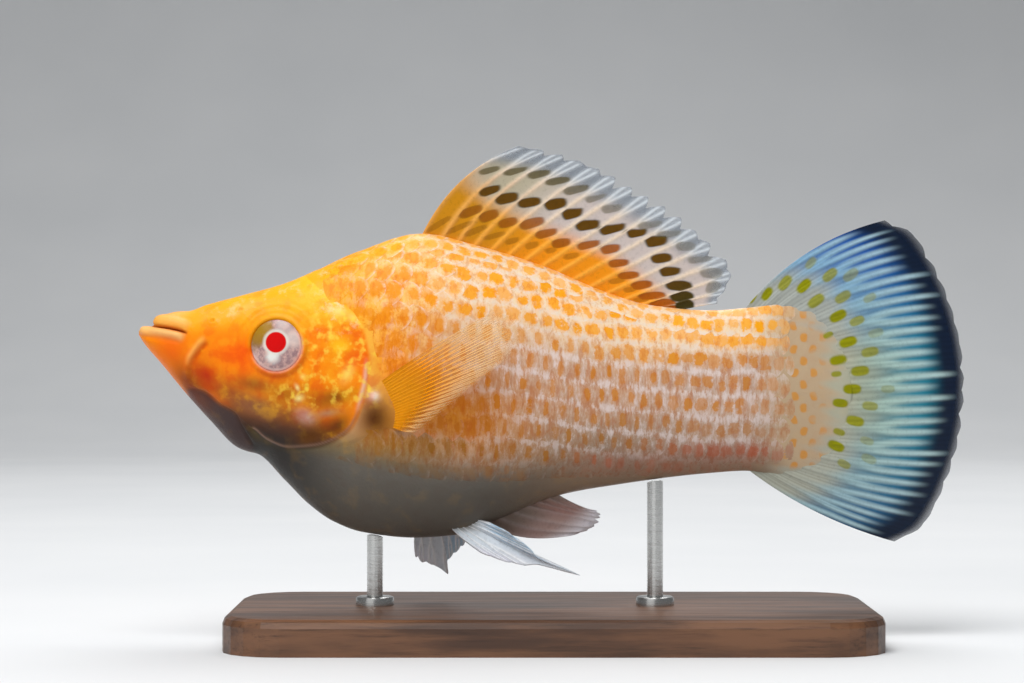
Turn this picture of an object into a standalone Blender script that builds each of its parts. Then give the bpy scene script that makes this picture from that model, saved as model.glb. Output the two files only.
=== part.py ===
"""A male sailfin molly in its albino gold form, life size, held level over a display base by two rods.

The fish faces -X with its left side to -Y. Sizes are in millimetres in the tables, measured in the
fish's own frame: x runs back from the tip of the lower jaw, y to the fish's right, z up from the
body axis. place() turns them into metres in the model's frame, whose origin is under the middle of
the model at the height that the base stands on.
"""

import math

import bmesh
import bpy
import numpy as np

MM = 0.001
TOTAL_LENGTH = 82.7  # tip of the lower jaw to the rear edge of the tail fin
AXIS_HEIGHT = 25.2  # body axis above the surface that the base stands on
GAP = 0.3  # between neighbouring nodes

# The body's outline from the side, (x, z), and its half width, (x, y)
TOP = [
    (0.0, 5.7), (0.5, 5.95), (1.3, 6.15), (1.8, 6.7), (2.5, 7.25), (3.6, 7.55), (5.0, 7.65), (6.8, 8.3),
    (10.5, 9.3), (14.6, 10.45), (21.8, 13.6), (28.2, 15.45), (34.2, 14.15), (40.7, 12.1), (46.2, 9.8),
    (51.2, 8.3),
    (57.3, 7.8), (61.0, 8.1), (64.0, 8.45), (66.0, 8.0), (68.0, 5.9), (69.3, 3.5), (70.1, 0.4),
]
BOTTOM = [
    (0.0, 5.3), (0.6, 4.4), (2.4, 2.3), (4.6, -0.4), (7.2, -3.3), (9.8, -5.9), (10.9, -6.35), (11.9, -6.6),
    (14.6, -9.2), (17.0, -11.6), (19.4, -13.3), (22.4, -14.4), (27.4, -14.95), (32.2, -14.6), (36.2, -13.0),
    (41.7, -10.8), (46.2, -9.9), (57.3, -8.55), (60.6, -8.35), (64.0, -8.7), (66.0, -8.3), (68.0, -6.6),
    (69.3, -4.4), (70.1, -1.2),
]
HALF_WIDTH = [
    (0.0, 0.3), (0.4, 1.2), (1.2, 2.0), (2.5, 2.6), (5.4, 3.3), (9.8, 4.15), (14.0, 4.8), (19.4, 5.8),
    (25.0, 6.45), (30.0, 6.6), (36.0, 6.2), (43.7, 5.05), (51.2, 3.85), (60.2, 2.6), (65.7, 1.45),
    (70.1, 0.4),
]
WIDEST = [  # height of the widest level of each section
    (0.0, 5.5), (2.5, 4.6), (6.2, 3.1), (14.6, 1.2), (24.2, -0.7), (30.0, -1.0), (43.7, -0.1), (70.1, -0.4),
]
CROWN_SQUARENESS = [(0.0, 2.4), (6.0, 2.9), (15.0, 2.7), (28.0, 2.0), (50.0, 2.0), (70.1, 2.2)]
KEEL_SQUARENESS = [(0.0, 2.2), (8.0, 1.8), (18.0, 2.0), (30.0, 2.2), (50.0, 2.0), (70.1, 2.2)]
STATIONS = [
    0.0, 0.3, 0.8, 1.3, 1.8, 2.4, 3.2, 4.2, 5.4, 6.8, 8.2, 9.6, 10.9, 12.2, 14.2, 16.8, 19.6, 22.4, 25.4,
    28.4, 31.6, 34.8, 38.0, 41.2, 44.4, 47.6, 50.8, 54.4, 58.0, 61.0, 63.6, 65.6, 67.2, 68.4, 69.4, 70.1,
]
RING_POINTS = 28

# Where the body is parted, as lines seen from the side
GILL_LINE = [
    (21.6, 30.0), (21.6, 13.0), (21.9, 7.0), (21.4, 0.0), (19.2, -4.0), (15.0, -5.8), (11.9, -6.2),
    (11.9, -30.0),
]
STALK_X = 53.2  # the tail stalk starts behind the dorsal fin's base
MOUTH_LINE = [(-5.0, 6.3), (1.4, 6.25), (3.1, 6.05), (4.8, 5.65), (6.1, 5.1)]
JAW_CREASE = [(6.7, 4.3), (5.9, 3.0), (5.6, 1.6), (5.8, 0.2), (6.4, -1.5), (7.0, -30.0)]
MOUTH_SLIT = 0.32

# The gill cover, a thin plate that stands a little proud of the cheek and shoulder
GILL_COVER_OUTLINE = [
    (19.0, 8.4), (21.4, 7.3), (22.9, 5.0), (23.4, 2.4), (23.2, -0.4), (22.2, -3.0), (20.2, -4.7),
    (17.6, -5.9), (14.6, -6.0), (13.4, -5.0), (15.4, -3.2), (16.9, -0.6), (17.6, 2.6), (17.9, 5.8),
]
GILL_COVER_PROUD = 0.25
GILL_COVER_THICK = 0.9

# Eye
EYE_X, EYE_Z = 13.9, 4.25
EYE_RADIUS = 2.5
EYE_DEPTH_SHARE = 0.8  # the ball's depth from cornea to back, as a share of its width
EYE_PROUD = 0.55
EYE_RIM = 0.42

# Lips, as rolls round the jaws seen from above
LIP_RADIUS = 0.45
UPPER_LIP = {"front": (2.15, 6.75), "corner": (5.3, 5.95), "half_width": 2.95}
LOWER_LIP = {"front": (0.55, 5.65), "corner": (5.2, 5.05), "half_width": 3.0}
NOSTRILS = [(7.4, 6.6), (10.2, 7.7)]
NOSTRIL_RADIUS = 0.34

# Fins: a membrane with its rays raised on both faces
MEMBRANE = 0.5
RAY_THICK = 0.86
MARGIN_SHARE = 0.7  # thickness left at the margin
ROOT_DEPTH = 1.0  # how deep a fin's sheet starts inside the body before the body is cut from it

# Each fin's root and margin at even steps from the first ray to the last, and how far the first and last
# rays bow out. The margins of the pelvic and pectoral fins are for the right side, as (x, y, z).
DORSAL_ROOT = (27.9, 51.8)
DORSAL_MARGIN = [
    (38.0, 24.2), (41.6, 23.6), (45.0, 22.4), (48.3, 20.8), (51.5, 19.0), (54.5, 16.9), (57.2, 14.4),
    (59.3, 11.5), (57.8, 8.4),
]
DORSAL_BOW = ((-0.95, 1.2), (0.4, 0.2))
TAIL_ROOT = [
    (59.8, 6.9), (63.2, 7.3), (66.2, 6.0), (67.6, 3.6), (68.2, 0.0), (67.6, -3.8), (66.2, -6.4),
    (63.2, -7.7), (59.7, -7.2),
]
TAIL_CENTRE = (56.2, 0.1)  # of the arc of the tail fin's margin
TAIL_REACH = 26.5
TAIL_CORNER_REACH = 25.0
TAIL_ANGLES = (42.0, -38.5)
TAIL_BOW = ((-0.9, 1.35), (-0.6, -0.75))
TAIL_SWEEP = 1.3  # how far the end of the tail fin swings to the fish's right
ANAL_ROOT = (34.0, 41.0)
ANAL_MARGIN = [(44.0, -14.5), (45.2, -14.1), (46.0, -13.4), (46.2, -12.8), (45.8, -12.3)]
ANAL_BOW = ((-0.7, -1.1), (0.0, -0.35))
ANAL_THICKNESS = 2.2  # a gonopodium's rays are thickened
PELVIC_ROOT_DEPTH = 1.6
PELVICS = {
    "left": {
        "root": (30.6, 33.0),
        "margin": [
            (35.2, 4.2, -16.7), (36.9, 4.4, -17.15), (38.6, 4.6, -17.35), (44.2, 5.2, -18.4),
            (40.3, 5.0, -16.2), (38.6, 4.8, -15.3), (36.8, 4.6, -14.1),
        ],
    },
    "right": {
        "root": (27.7, 32.0),
        "margin": [
            (27.4, 4.2, -17.5), (28.2, 4.5, -17.9), (29.2, 4.8, -18.0), (30.8, 5.4, -19.2),
            (30.9, 5.1, -17.6), (31.3, 4.8, -16.8), (32.0, 4.6, -16.0),
        ],
    },
}
PECTORAL_ROOT = ((23.8, 0.5), (24.3, -4.2))
PECTORAL_ROOT_DEPTH = 0.5
PECTORAL_MARGIN = [
    (36.0, 9.0, 7.5), (37.7, 9.4, 7.0), (38.2, 9.7, 5.4), (36.6, 9.7, 3.0), (33.6, 9.2, 0.8),
    (30.7, 8.6, -1.6), (28.0, 8.0, -3.4),
]

# Stand
BASE_SIZE = (64.0, 32.0, 3.5)
BASE_BEVEL = 0.8
ROD_RADIUS = 0.8
ROD_XS = {"front": 23.6, "rear": 51.6}
ROD_SIDES = 16

COLOURS = {  # colour, roughness, metallic
    "gold_skin": ((0.95, 0.42, 0.05), 0.4, 0.0),
    "pearl_skin": ((0.86, 0.62, 0.45), 0.4, 0.0),
    "dorsal_membrane": ((0.85, 0.62, 0.35), 0.45, 0.0),
    "blue_membrane": ((0.55, 0.75, 0.85), 0.45, 0.0),
    "eye": ((0.75, 0.12, 0.1), 0.1, 0.0),
    "dark_wood": ((0.12, 0.07, 0.045), 0.4, 0.0),
    "steel": ((0.62, 0.62, 0.63), 0.3, 1.0),
}


def place(x, y, z):
    """A point of the fish's frame in millimetres as a point of the model in metres."""
    return ((x - TOTAL_LENGTH / 2) * MM, y * MM, (z + AXIS_HEIGHT) * MM)


def smooth(at, points):
    """The value at one place of a curve through the points, which never overshoots them."""
    xs, ys = (np.array(c, float) for c in zip(*points))
    slopes = np.diff(ys) / np.diff(xs)
    product, total = slopes[:-1] * slopes[1:], slopes[:-1] + slopes[1:]
    joined = np.where(product > 0, 2 * product / (total + 1e-12), 0)
    tangents = np.concatenate([slopes[:1], joined, slopes[-1:]])
    i = int(np.clip(np.searchsorted(xs, at) - 1, 0, len(xs) - 2))
    span = xs[i + 1] - xs[i]
    t = min(max((at - xs[i]) / span, 0.0), 1.0)
    return float(
        ys[i] * (1 + 2 * t) * (1 - t) ** 2
        + ys[i + 1] * t * t * (3 - 2 * t)
        + span * (tangents[i] * t * (1 - t) ** 2 - tangents[i + 1] * t * t * (1 - t))
    )


def body_half_width(x, z):
    """How far the body's side is from its middle plane at that place seen from the side."""
    widest = smooth(x, WIDEST)
    if z > widest:
        share, power = (z - widest) / (smooth(x, TOP) - widest), smooth(x, CROWN_SQUARENESS)
    else:
        share, power = (widest - z) / (widest - smooth(x, BOTTOM)), smooth(x, KEEL_SQUARENESS)
    return smooth(x, HALF_WIDTH) * max(0.0, 1 - min(share, 1.0) ** power) ** (1 / power)


def section(x):
    """One ring of the body at x, as points (x, y, z)."""
    top, bottom, widest, half = (smooth(x, c) for c in (TOP, BOTTOM, WIDEST, HALF_WIDTH))
    ring = []
    for i in range(RING_POINTS):
        angle = 2 * math.pi * i / RING_POINTS
        across, up = math.cos(angle), math.sin(angle)
        power = smooth(x, CROWN_SQUARENESS if up > 0 else KEEL_SQUARENESS)
        height = (top - widest) if up > 0 else (widest - bottom)
        y = half * math.copysign(abs(across) ** (2 / power), across)
        z = widest + height * math.copysign(abs(up) ** (2 / power), up)
        ring.append((x, y, z))
    return ring


def new_object(name, bm):
    """An object made from a bmesh, which is freed."""
    bmesh.ops.recalc_face_normals(bm, faces=bm.faces)
    mesh = bpy.data.meshes.new(name)
    bm.to_mesh(mesh)
    bm.free()
    obj = bpy.data.objects.new(name, mesh)
    bpy.context.scene.collection.objects.link(obj)
    return obj


def body(name, grow=0.0, x_range=(0.0, 99.0)):
    """The whole body as a loft through its sections, with its surface moved out by grow."""
    bm = bmesh.new()
    stations = [x for x in STATIONS if x_range[0] <= x <= x_range[1]]
    rings = [[bm.verts.new(place(*p)) for p in section(x)] for x in stations]
    for before, after in zip(rings, rings[1:]):
        for i in range(RING_POINTS):
            j = (i + 1) % RING_POINTS
            bm.faces.new((before[i], before[j], after[j], after[i]))
    bm.faces.new(rings[0])
    bm.faces.new(rings[-1])
    bmesh.ops.recalc_face_normals(bm, faces=bm.faces)
    bmesh.ops.triangulate(bm, faces=bm.faces)
    bm.normal_update()
    moves = [(v, v.normal * grow * MM) for v in bm.verts]
    for vert, move in moves:
        vert.co += move
    return new_object(name, bm)


def prism(name, outline, y_range=(-12.0, 12.0)):
    """A closed slab with that outline seen from the side, between two values of y."""
    bm = bmesh.new()
    base = [bm.verts.new(place(x, y_range[0], z)) for x, z in outline]
    face = bm.faces.new(base)
    made = bmesh.ops.extrude_face_region(bm, geom=[face])
    for item in made["geom"]:
        if isinstance(item, bmesh.types.BMVert):
            item.co.y = y_range[1] * MM
    bmesh.ops.triangulate(bm, faces=[f for f in bm.faces if len(f.verts) > 4])
    return new_object(name, bm)


def shifted(line, distance):
    """An open line moved sideways: to its right, seen from the fish's left, where distance is positive."""
    points = np.array(line, float)
    along = np.gradient(points, axis=0)
    along /= np.linalg.norm(along, axis=1)[:, None]
    return [tuple(p) for p in points + distance * np.column_stack([-along[:, 1], along[:, 0]])]


def grown(outline, distance):
    """A closed outline moved outwards by a distance."""
    points = np.array(outline, float)
    along = np.roll(points, -1, 0) - np.roll(points, 1, 0)
    along /= np.linalg.norm(along, axis=1)[:, None]
    normals = np.column_stack([along[:, 1], -along[:, 0]])
    if (normals * (points - points.mean(0))).sum() < 0:
        normals = -normals
    return [tuple(p) for p in points + distance * normals]


def rounded(outline, steps=3):
    """A closed outline as a smooth curve through its points."""
    points = np.array(outline, float)
    made = []
    for i in range(len(points)):
        a, b, c, d = (points[(i + k) % len(points)] for k in (-1, 0, 1, 2))
        for step in range(steps):
            t = step / steps
            square, cube = 2 * a - 5 * b + 4 * c - d, 3 * b - a - 3 * c + d
            made.append(tuple(0.5 * (2 * b + (c - a) * t + square * t * t + cube * t ** 3)))
    return made


def apply_modifiers(obj):
    """Gives the object the mesh that its modifiers make."""
    graph = bpy.context.evaluated_depsgraph_get()
    mesh = bpy.data.meshes.new_from_object(obj.evaluated_get(graph))
    obj.modifiers.clear()
    obj.data = mesh


def face_outward(obj):
    """Turns the faces of a closed mesh outwards."""
    bm = bmesh.new()
    bm.from_mesh(obj.data)
    bmesh.ops.recalc_face_normals(bm, faces=bm.faces)
    bm.to_mesh(obj.data)
    bm.free()
    return obj


def boolean(obj, other, operation, solver="EXACT"):
    """Cuts the object with another, or intersects them, and keeps the result."""
    modifier = obj.modifiers.new(operation.title(), "BOOLEAN")
    modifier.operation = operation
    modifier.solver = solver
    modifier.object = other
    apply_modifiers(obj)
    return obj


def join(obj, pieces):
    """Joins the pieces to the object by one union, and removes them."""
    group = bpy.data.collections.new("joined to " + obj.name)
    for piece in pieces:
        group.objects.link(piece)
    modifier = obj.modifiers.new("Union", "BOOLEAN")
    modifier.operation = "UNION"
    modifier.solver = "EXACT"
    modifier.operand_type = "COLLECTION"
    modifier.collection = group
    apply_modifiers(obj)
    for piece in pieces:
        bpy.data.objects.remove(piece)
    bpy.data.collections.remove(group)
    return obj


def keep_largest(obj):
    """Keeps only the largest closed surface of the object."""
    bm = bmesh.new()
    bm.from_mesh(obj.data)
    bmesh.ops.remove_doubles(bm, verts=bm.verts, dist=1e-7)
    left, islands = set(bm.verts), []
    while left:
        island, edge = set(), [next(iter(left))]
        while edge:
            vert = edge.pop()
            if vert in island:
                continue
            island.add(vert)
            edge.extend(e.other_vert(vert) for e in vert.link_edges)
        left -= island
        islands.append(island)
    islands.sort(key=len)
    bmesh.ops.delete(bm, geom=[v for island in islands[:-1] for v in island], context="VERTS")
    bm.to_mesh(obj.data)
    bm.free()
    return obj


def tube(name, points, radius, sides=8):
    """A round tube with closed ends through points of the fish's frame."""
    curve = bpy.data.curves.new(name, "CURVE")
    curve.dimensions = "3D"
    curve.bevel_depth = radius * MM
    curve.bevel_resolution = max(0, sides // 2 - 2)
    curve.use_fill_caps = True
    spline = curve.splines.new("POLY")
    spline.points.add(len(points) - 1)
    for point, at in zip(spline.points, points):
        point.co = (*place(*at), 1.0)
    guide = bpy.data.objects.new(name, curve)
    bpy.context.scene.collection.objects.link(guide)
    mesh = bpy.data.meshes.new_from_object(guide.evaluated_get(bpy.context.evaluated_depsgraph_get()))
    bm = bmesh.new()
    bm.from_mesh(mesh)
    bpy.data.objects.remove(guide)
    bmesh.ops.remove_doubles(bm, verts=bm.verts, dist=1e-6)
    return new_object(name, bm)


def ball(name, at, radii, segments):
    """An ellipsoid at a point of the fish's frame."""
    bpy.ops.mesh.primitive_uv_sphere_add(
        segments=segments, ring_count=segments // 2, radius=MM, location=place(*at),
        rotation=(math.pi / 2, 0, 0),
    )
    obj = bpy.context.object
    obj.name = name
    obj.scale = (radii[0], radii[2], radii[1])
    bpy.ops.object.transform_apply(location=True, rotation=True, scale=True)
    return obj


def lip(name, sizes, steps=12):
    """A lip as a tube that runs from one mouth corner round the snout to the other."""
    (front_x, front_z), (corner_x, corner_z) = sizes["front"], sizes["corner"]
    points = []
    for i in range(steps + 1):
        angle = math.pi * (i / steps - 0.5)
        back = 1 - math.cos(angle)
        points.append((
            front_x + (corner_x - front_x) * back,
            sizes["half_width"] * math.sin(angle),
            front_z + (corner_z - front_z) * back,
        ))
    return tube(name, points, LIP_RADIUS)


def eye_ball(name, side, grow=0.0):
    """An eyeball, whose cornea stands a little out of the head, or its socket where it is grown."""
    surface = body_half_width(EYE_X, EYE_Z)
    depth = EYE_RADIUS * EYE_DEPTH_SHARE
    y = side * (surface + EYE_PROUD - depth)
    radii = (EYE_RADIUS + grow, depth + grow, EYE_RADIUS + grow)
    return ball(name, (EYE_X, y, EYE_Z), radii, segments=20)


def eye_rim(name, side):
    """The raised fold of skin round an eye."""
    y = side * (body_half_width(EYE_X, EYE_Z) - 0.12)
    radius = EYE_RADIUS + GAP + EYE_RIM * 0.4
    bpy.ops.mesh.primitive_torus_add(
        location=place(EYE_X, y, EYE_Z), rotation=(math.pi / 2, 0, side * math.radians(8)),
        major_segments=24, minor_segments=6, major_radius=radius * MM, minor_radius=EYE_RIM * MM,
    )
    obj = bpy.context.object
    obj.name = name
    return obj


def part_outlines():
    """The side outlines that part the body into head, lower jaw, trunk and tail stalk."""
    jaw_line = MOUTH_LINE + JAW_CREASE
    upper = shifted(jaw_line, MOUTH_SLIT / 2)
    lower = shifted(jaw_line, -MOUTH_SLIT / 2)
    head_side = shifted(GILL_LINE, -GAP / 2)
    trunk_side = shifted(GILL_LINE, GAP / 2)
    return {
        "head": [(-5.0, 30.0)] + upper + head_side[::-1],
        "lower_jaw": lower + [(-5.0, -30.0)],
        "trunk": trunk_side + [(STALK_X - GAP / 2, -30.0), (STALK_X - GAP / 2, 30.0)],
        "tail_stalk": [(STALK_X + GAP / 2, -30.0), (STALK_X + GAP / 2, 30.0), (90.0, 30.0), (90.0, -30.0)],
    }


def along(points, share):
    """The place at a share of the way along a smooth curve through evenly spaced points."""
    steps = np.linspace(0, 1, len(points))
    return np.array([smooth(share, list(zip(steps, values))) for values in zip(*points)])


def fan(roots, tips, bow, columns, rows, notch):
    """The sheet of a fin as a grid of points: columns of ray positions by rows from root to margin."""
    (first_x, first_z), (last_x, last_z) = bow
    grid = []
    for column in columns:
        share = column / columns[-1]
        root, tip = along(roots, share), along(tips, share)
        reach = 1 - notch * (1 - math.cos(2 * math.pi * column)) / 2
        first, last = max(0.0, 1 - 2 * share), max(0.0, 2 * share - 1)
        bulge = np.array((first_x * first + last_x * last, 0.0, first_z * first + last_z * last))
        line = []
        for row in rows:
            s = row * reach
            line.append(root + (tip - root) * s + bulge * 4 * s * (1 - s))
        grid.append(line)
    return grid


def fin(
    name, roots, tips, rays, rows, bow=((0, 0), (0, 0)), notch=0.03, wave=None, thick=1.0, branched=False
):
    """A fin as a thin sheet with a ridge for each ray, split at the outer half where the rays branch.

    wave gives how far the sheet is moved sideways at a share of its length and of its rays.
    """
    shoulders = (-0.3, -0.16, 0.0, 0.16, 0.3) if branched else (-0.2, 0.0, 0.2)
    columns, crests = [], []
    for ray in range(rays):
        for shoulder in shoulders:
            at = ray + shoulder
            if 0 <= at <= rays - 1:
                columns.append(at)
                crests.append(abs(shoulder))
        if ray < rays - 1:
            columns.append(ray + 0.5)
            crests.append(0.5)
    shares = [i / rows for i in range(rows + 1)]
    grid = fan(roots, tips, bow, columns, shares, notch)
    bm = bmesh.new()
    thickness = bm.verts.layers.deform.verify()
    verts = []
    for column, crest, line in zip(columns, crests, grid):
        strip = []
        for share, point in zip(shares, line):
            x, y, z = point
            if wave:
                y += wave(column / (rays - 1), share)
            vert = bm.verts.new(place(x, y, z))
            split = branched and share > 0.55
            raised = (0.1 < crest < 0.25) if split else crest < (0.25 if branched else 0.1)
            taper = 1 - (1 - MARGIN_SHARE) * share
            vert[thickness][0] = (RAY_THICK if raised else MEMBRANE) / RAY_THICK * taper
            strip.append(vert)
        verts.append(strip)
    for left, right in zip(verts, verts[1:]):
        for i in range(rows):
            bm.faces.new((left[i], right[i], right[i + 1]))
            bm.faces.new((left[i], right[i + 1], left[i + 1]))
    obj = new_object(name, bm)
    obj.vertex_groups.new(name="thickness")
    shell = obj.modifiers.new("Thickness", "SOLIDIFY")
    shell.thickness = RAY_THICK * thick * MM
    shell.offset = 0
    shell.vertex_group = "thickness"
    apply_modifiers(obj)
    return face_outward(obj)


def dorsal_fin():
    """The sail on the back, sixteen rays swept backwards."""
    roots = [(x, 0, smooth(x, TOP) - ROOT_DEPTH) for x in np.linspace(*DORSAL_ROOT, 8)]
    tips = [(x, 0, z) for x, z in DORSAL_MARGIN]
    return fin("dorsal_fin", roots, tips, 16, 7, DORSAL_BOW, notch=0.05,
               wave=lambda ray, share: 0.5 * math.sin(5 * ray) * share * share)


def tail_fin():
    """The rounded tail fin, a fan whose margin is an arc about a point inside the tail stalk."""
    tips = []
    for angle in np.linspace(*TAIL_ANGLES, 15):
        to_corner = min(abs(angle - corner) for corner in TAIL_ANGLES)
        reach = TAIL_REACH - (TAIL_REACH - TAIL_CORNER_REACH) * max(0.0, 1 - to_corner / 9) ** 2
        turn = math.radians(angle)
        tips.append((TAIL_CENTRE[0] + reach * math.cos(turn), 0, TAIL_CENTRE[1] + reach * math.sin(turn)))
    roots = [(x, 0, z) for x, z in TAIL_ROOT]
    return fin("tail_fin", roots, tips, 17, 8, TAIL_BOW, notch=0.02, branched=True,
               wave=lambda ray, share: (TAIL_SWEEP + 0.25 * math.sin(9 * ray)) * share * share)


def anal_fin():
    """The male's gonopodium: a narrow anal fin with a fleshy base, folded back along the belly."""
    roots = [(x, 0, smooth(x, BOTTOM) + ROOT_DEPTH) for x in np.linspace(*ANAL_ROOT, 5)]
    tips = [(x, 0, z) for x, z in ANAL_MARGIN]
    return fin("anal_fin", roots, tips, 7, 6, ANAL_BOW, notch=0.02, thick=ANAL_THICKNESS,
               wave=lambda ray, share: 0.35 * share * share)


def pelvic_fin(word, side):
    """A pelvic fin, whose second ray is drawn out to a point in the male."""
    sizes = PELVICS[word]
    roots = [(x, side * 2.0, smooth(x, BOTTOM) + PELVIC_ROOT_DEPTH) for x in np.linspace(*sizes["root"], 3)]
    tips = [(x, side * y, z) for x, y, z in sizes["margin"]]
    return fin("pelvic_fin_" + word, roots, tips, 7, 5, notch=0.06)


def pectoral_fin(word, side):
    """A pectoral fin, a short fan behind the gill cover that stands off the flank."""
    roots = []
    for x, z in (PECTORAL_ROOT[0], np.mean(PECTORAL_ROOT, axis=0), PECTORAL_ROOT[1]):
        roots.append((x, side * (body_half_width(x, z) - PECTORAL_ROOT_DEPTH), z))
    tips = [(x, side * y, z) for x, y, z in PECTORAL_MARGIN]
    return fin("pectoral_fin_" + word, roots, tips, 11, 5, bow=((0, 0.3), (0, -0.2)),
               wave=lambda ray, share: side * 1.6 * share * (1 - share))


def stand_base():
    """The flat base, a board with rounded corners and edges."""
    bpy.ops.mesh.primitive_cube_add(size=MM, location=(0, 0, BASE_SIZE[2] * MM / 2))
    obj = bpy.context.object
    obj.name = "stand_base"
    obj.scale = BASE_SIZE
    bpy.ops.object.transform_apply(location=False, rotation=False, scale=True)
    bm = bmesh.new()
    bm.from_mesh(obj.data)
    corners = [e for e in bm.edges if abs(e.verts[0].co.z - e.verts[1].co.z) > MM]
    bmesh.ops.bevel(bm, geom=corners, offset=6 * MM, segments=5, profile=0.5, affect="EDGES")
    rim = [e for e in bm.edges if all(v.co.z > MM for v in e.verts)]
    bmesh.ops.bevel(bm, geom=rim, offset=BASE_BEVEL * MM, segments=2, profile=0.5, affect="EDGES")
    bm.to_mesh(obj.data)
    bm.free()
    return obj


def stand_rod(name, x, top):
    """A steel rod from just above the base into the body, which is then cut from it."""
    bottom = BASE_SIZE[2] + GAP
    height = top + AXIS_HEIGHT - bottom
    centre = place(x, 0, bottom - AXIS_HEIGHT + height / 2)
    bpy.ops.mesh.primitive_cylinder_add(
        vertices=ROD_SIDES, radius=ROD_RADIUS * MM, depth=height * MM, location=centre
    )
    obj = bpy.context.object
    obj.name = name
    bpy.ops.object.transform_apply(location=True, rotation=True, scale=True)
    return obj


def material(name):
    """A plain Principled material with one of the named colours."""
    colour, roughness, metallic = COLOURS[name]
    made = bpy.data.materials.new(name)
    made.use_nodes = True
    shader = made.node_tree.nodes["Principled BSDF"]
    shader.inputs["Base Color"].default_value = (*colour, 1)
    shader.inputs["Roughness"].default_value = roughness
    shader.inputs["Metallic"].default_value = metallic
    return made


def main():
    for obj in list(bpy.data.objects):
        bpy.data.objects.remove(obj)
    whole = body("whole_body")
    clearance = body("body_clearance", GAP)
    proud = body("proud_body", GILL_COVER_PROUD)
    inner = body("inner_body", GILL_COVER_PROUD - GILL_COVER_THICK, (8.0, 36.0))
    pocket = body("pocket_body", GILL_COVER_PROUD - GILL_COVER_THICK - GAP, (8.0, 36.0))
    helpers = [whole, clearance, proud, inner, pocket]
    nodes = {}

    added = {
        "head": [lip("upper_lip", UPPER_LIP), eye_rim("rim_left", -1), eye_rim("rim_right", 1)],
        "lower_jaw": [lip("lower_lip", LOWER_LIP)],
    }
    for name, outline in part_outlines().items():
        nodes[name] = body(name)
        if name in added:
            join(nodes[name], added[name])
        slab = prism("slab", outline)
        boolean(nodes[name], slab, "INTERSECT")
        bpy.data.objects.remove(slab)

    cover_line = rounded(GILL_COVER_OUTLINE)
    for side, word in ((-1, "left"), (1, "right")):
        reach = sorted((side * 1.0, side * 12.0))
        recess = prism("recess", grown(cover_line, GAP), reach)
        boolean(recess, pocket, "DIFFERENCE")
        for name in ("head", "trunk"):
            boolean(nodes[name], recess, "DIFFERENCE")
        bpy.data.objects.remove(recess)
        cover = prism("gill_cover_" + word, cover_line, reach)
        boolean(cover, proud, "INTERSECT")
        boolean(cover, inner, "DIFFERENCE")
        nodes[cover.name] = cover

    for side, word in ((-1, "left"), (1, "right")):
        socket = eye_ball("socket", side, GAP)
        boolean(nodes["head"], socket, "DIFFERENCE")
        bpy.data.objects.remove(socket)
        nodes["eye_" + word] = eye_ball("eye_" + word, side)
        for x, z in NOSTRILS:
            pit = ball("pit", (x, side * body_half_width(x, z), z), (NOSTRIL_RADIUS,) * 3, segments=10)
            boolean(nodes["head"], pit, "DIFFERENCE")
            bpy.data.objects.remove(pit)

    fins = [dorsal_fin(), tail_fin(), anal_fin()]
    for side, word in ((-1, "left"), (1, "right")):
        fins += [pelvic_fin(word, side), pectoral_fin(word, side)]
    rods = [stand_rod("stand_rod_" + word, x, smooth(x, BOTTOM) + ROOT_DEPTH) for word, x in ROD_XS.items()]
    for obj in fins + rods:
        nodes[obj.name] = boolean(obj, clearance, "DIFFERENCE", "MANIFOLD")
    nodes["stand_base"] = stand_base()

    for helper in helpers:
        bpy.data.objects.remove(helper)
    finish = {name: "gold_skin" for name in ("head", "lower_jaw", "gill_cover_left", "gill_cover_right")}
    finish |= {name: "pearl_skin" for name in ("trunk", "tail_stalk", "anal_fin")}
    finish |= {name: "dorsal_membrane" for name in ("dorsal_fin", "pectoral_fin_left", "pectoral_fin_right")}
    finish |= {name: "blue_membrane" for name in ("tail_fin", "pelvic_fin_left", "pelvic_fin_right")}
    finish |= {"eye_left": "eye", "eye_right": "eye", "stand_base": "dark_wood"}
    finish |= {"stand_rod_front": "steel", "stand_rod_rear": "steel"}
    materials = {name: material(name) for name in COLOURS}
    group = bpy.data.collections.new("sailfin_molly")
    bpy.context.scene.collection.children.link(group)
    for name, obj in nodes.items():
        keep_largest(obj)
        obj.name = name
        obj.data.materials.clear()
        obj.data.materials.append(materials[finish[name]])
        for holder in list(obj.users_collection):
            holder.objects.unlink(obj)
        group.objects.link(obj)


main()
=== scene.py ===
# The looks of a sailfin molly model: skin, scales, fins, eyes, the stand's finish, the light and the camera.
# Tables are in millimetres in the fish's own frame: x runs back from the tip of the lower jaw, y to the
# fish's right and z up from the body axis. toModel() turns such points into metres in the model's frame.
import functools
import math

import bmesh
import bpy
import numpy as np
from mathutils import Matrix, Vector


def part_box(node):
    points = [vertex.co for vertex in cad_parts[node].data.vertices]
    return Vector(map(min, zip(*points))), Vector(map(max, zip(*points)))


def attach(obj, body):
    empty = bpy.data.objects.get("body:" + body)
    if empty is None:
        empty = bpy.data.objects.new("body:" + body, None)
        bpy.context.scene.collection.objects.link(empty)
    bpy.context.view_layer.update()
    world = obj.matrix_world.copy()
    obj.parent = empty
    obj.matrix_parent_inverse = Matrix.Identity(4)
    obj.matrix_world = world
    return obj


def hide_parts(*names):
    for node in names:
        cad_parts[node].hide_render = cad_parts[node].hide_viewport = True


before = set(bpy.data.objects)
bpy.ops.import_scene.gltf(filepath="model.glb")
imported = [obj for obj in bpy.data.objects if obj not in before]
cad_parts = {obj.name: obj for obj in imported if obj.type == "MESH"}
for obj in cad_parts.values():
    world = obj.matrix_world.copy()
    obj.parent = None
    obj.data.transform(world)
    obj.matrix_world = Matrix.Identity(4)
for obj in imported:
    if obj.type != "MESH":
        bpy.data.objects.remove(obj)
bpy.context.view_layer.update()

mm = 0.001
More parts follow.
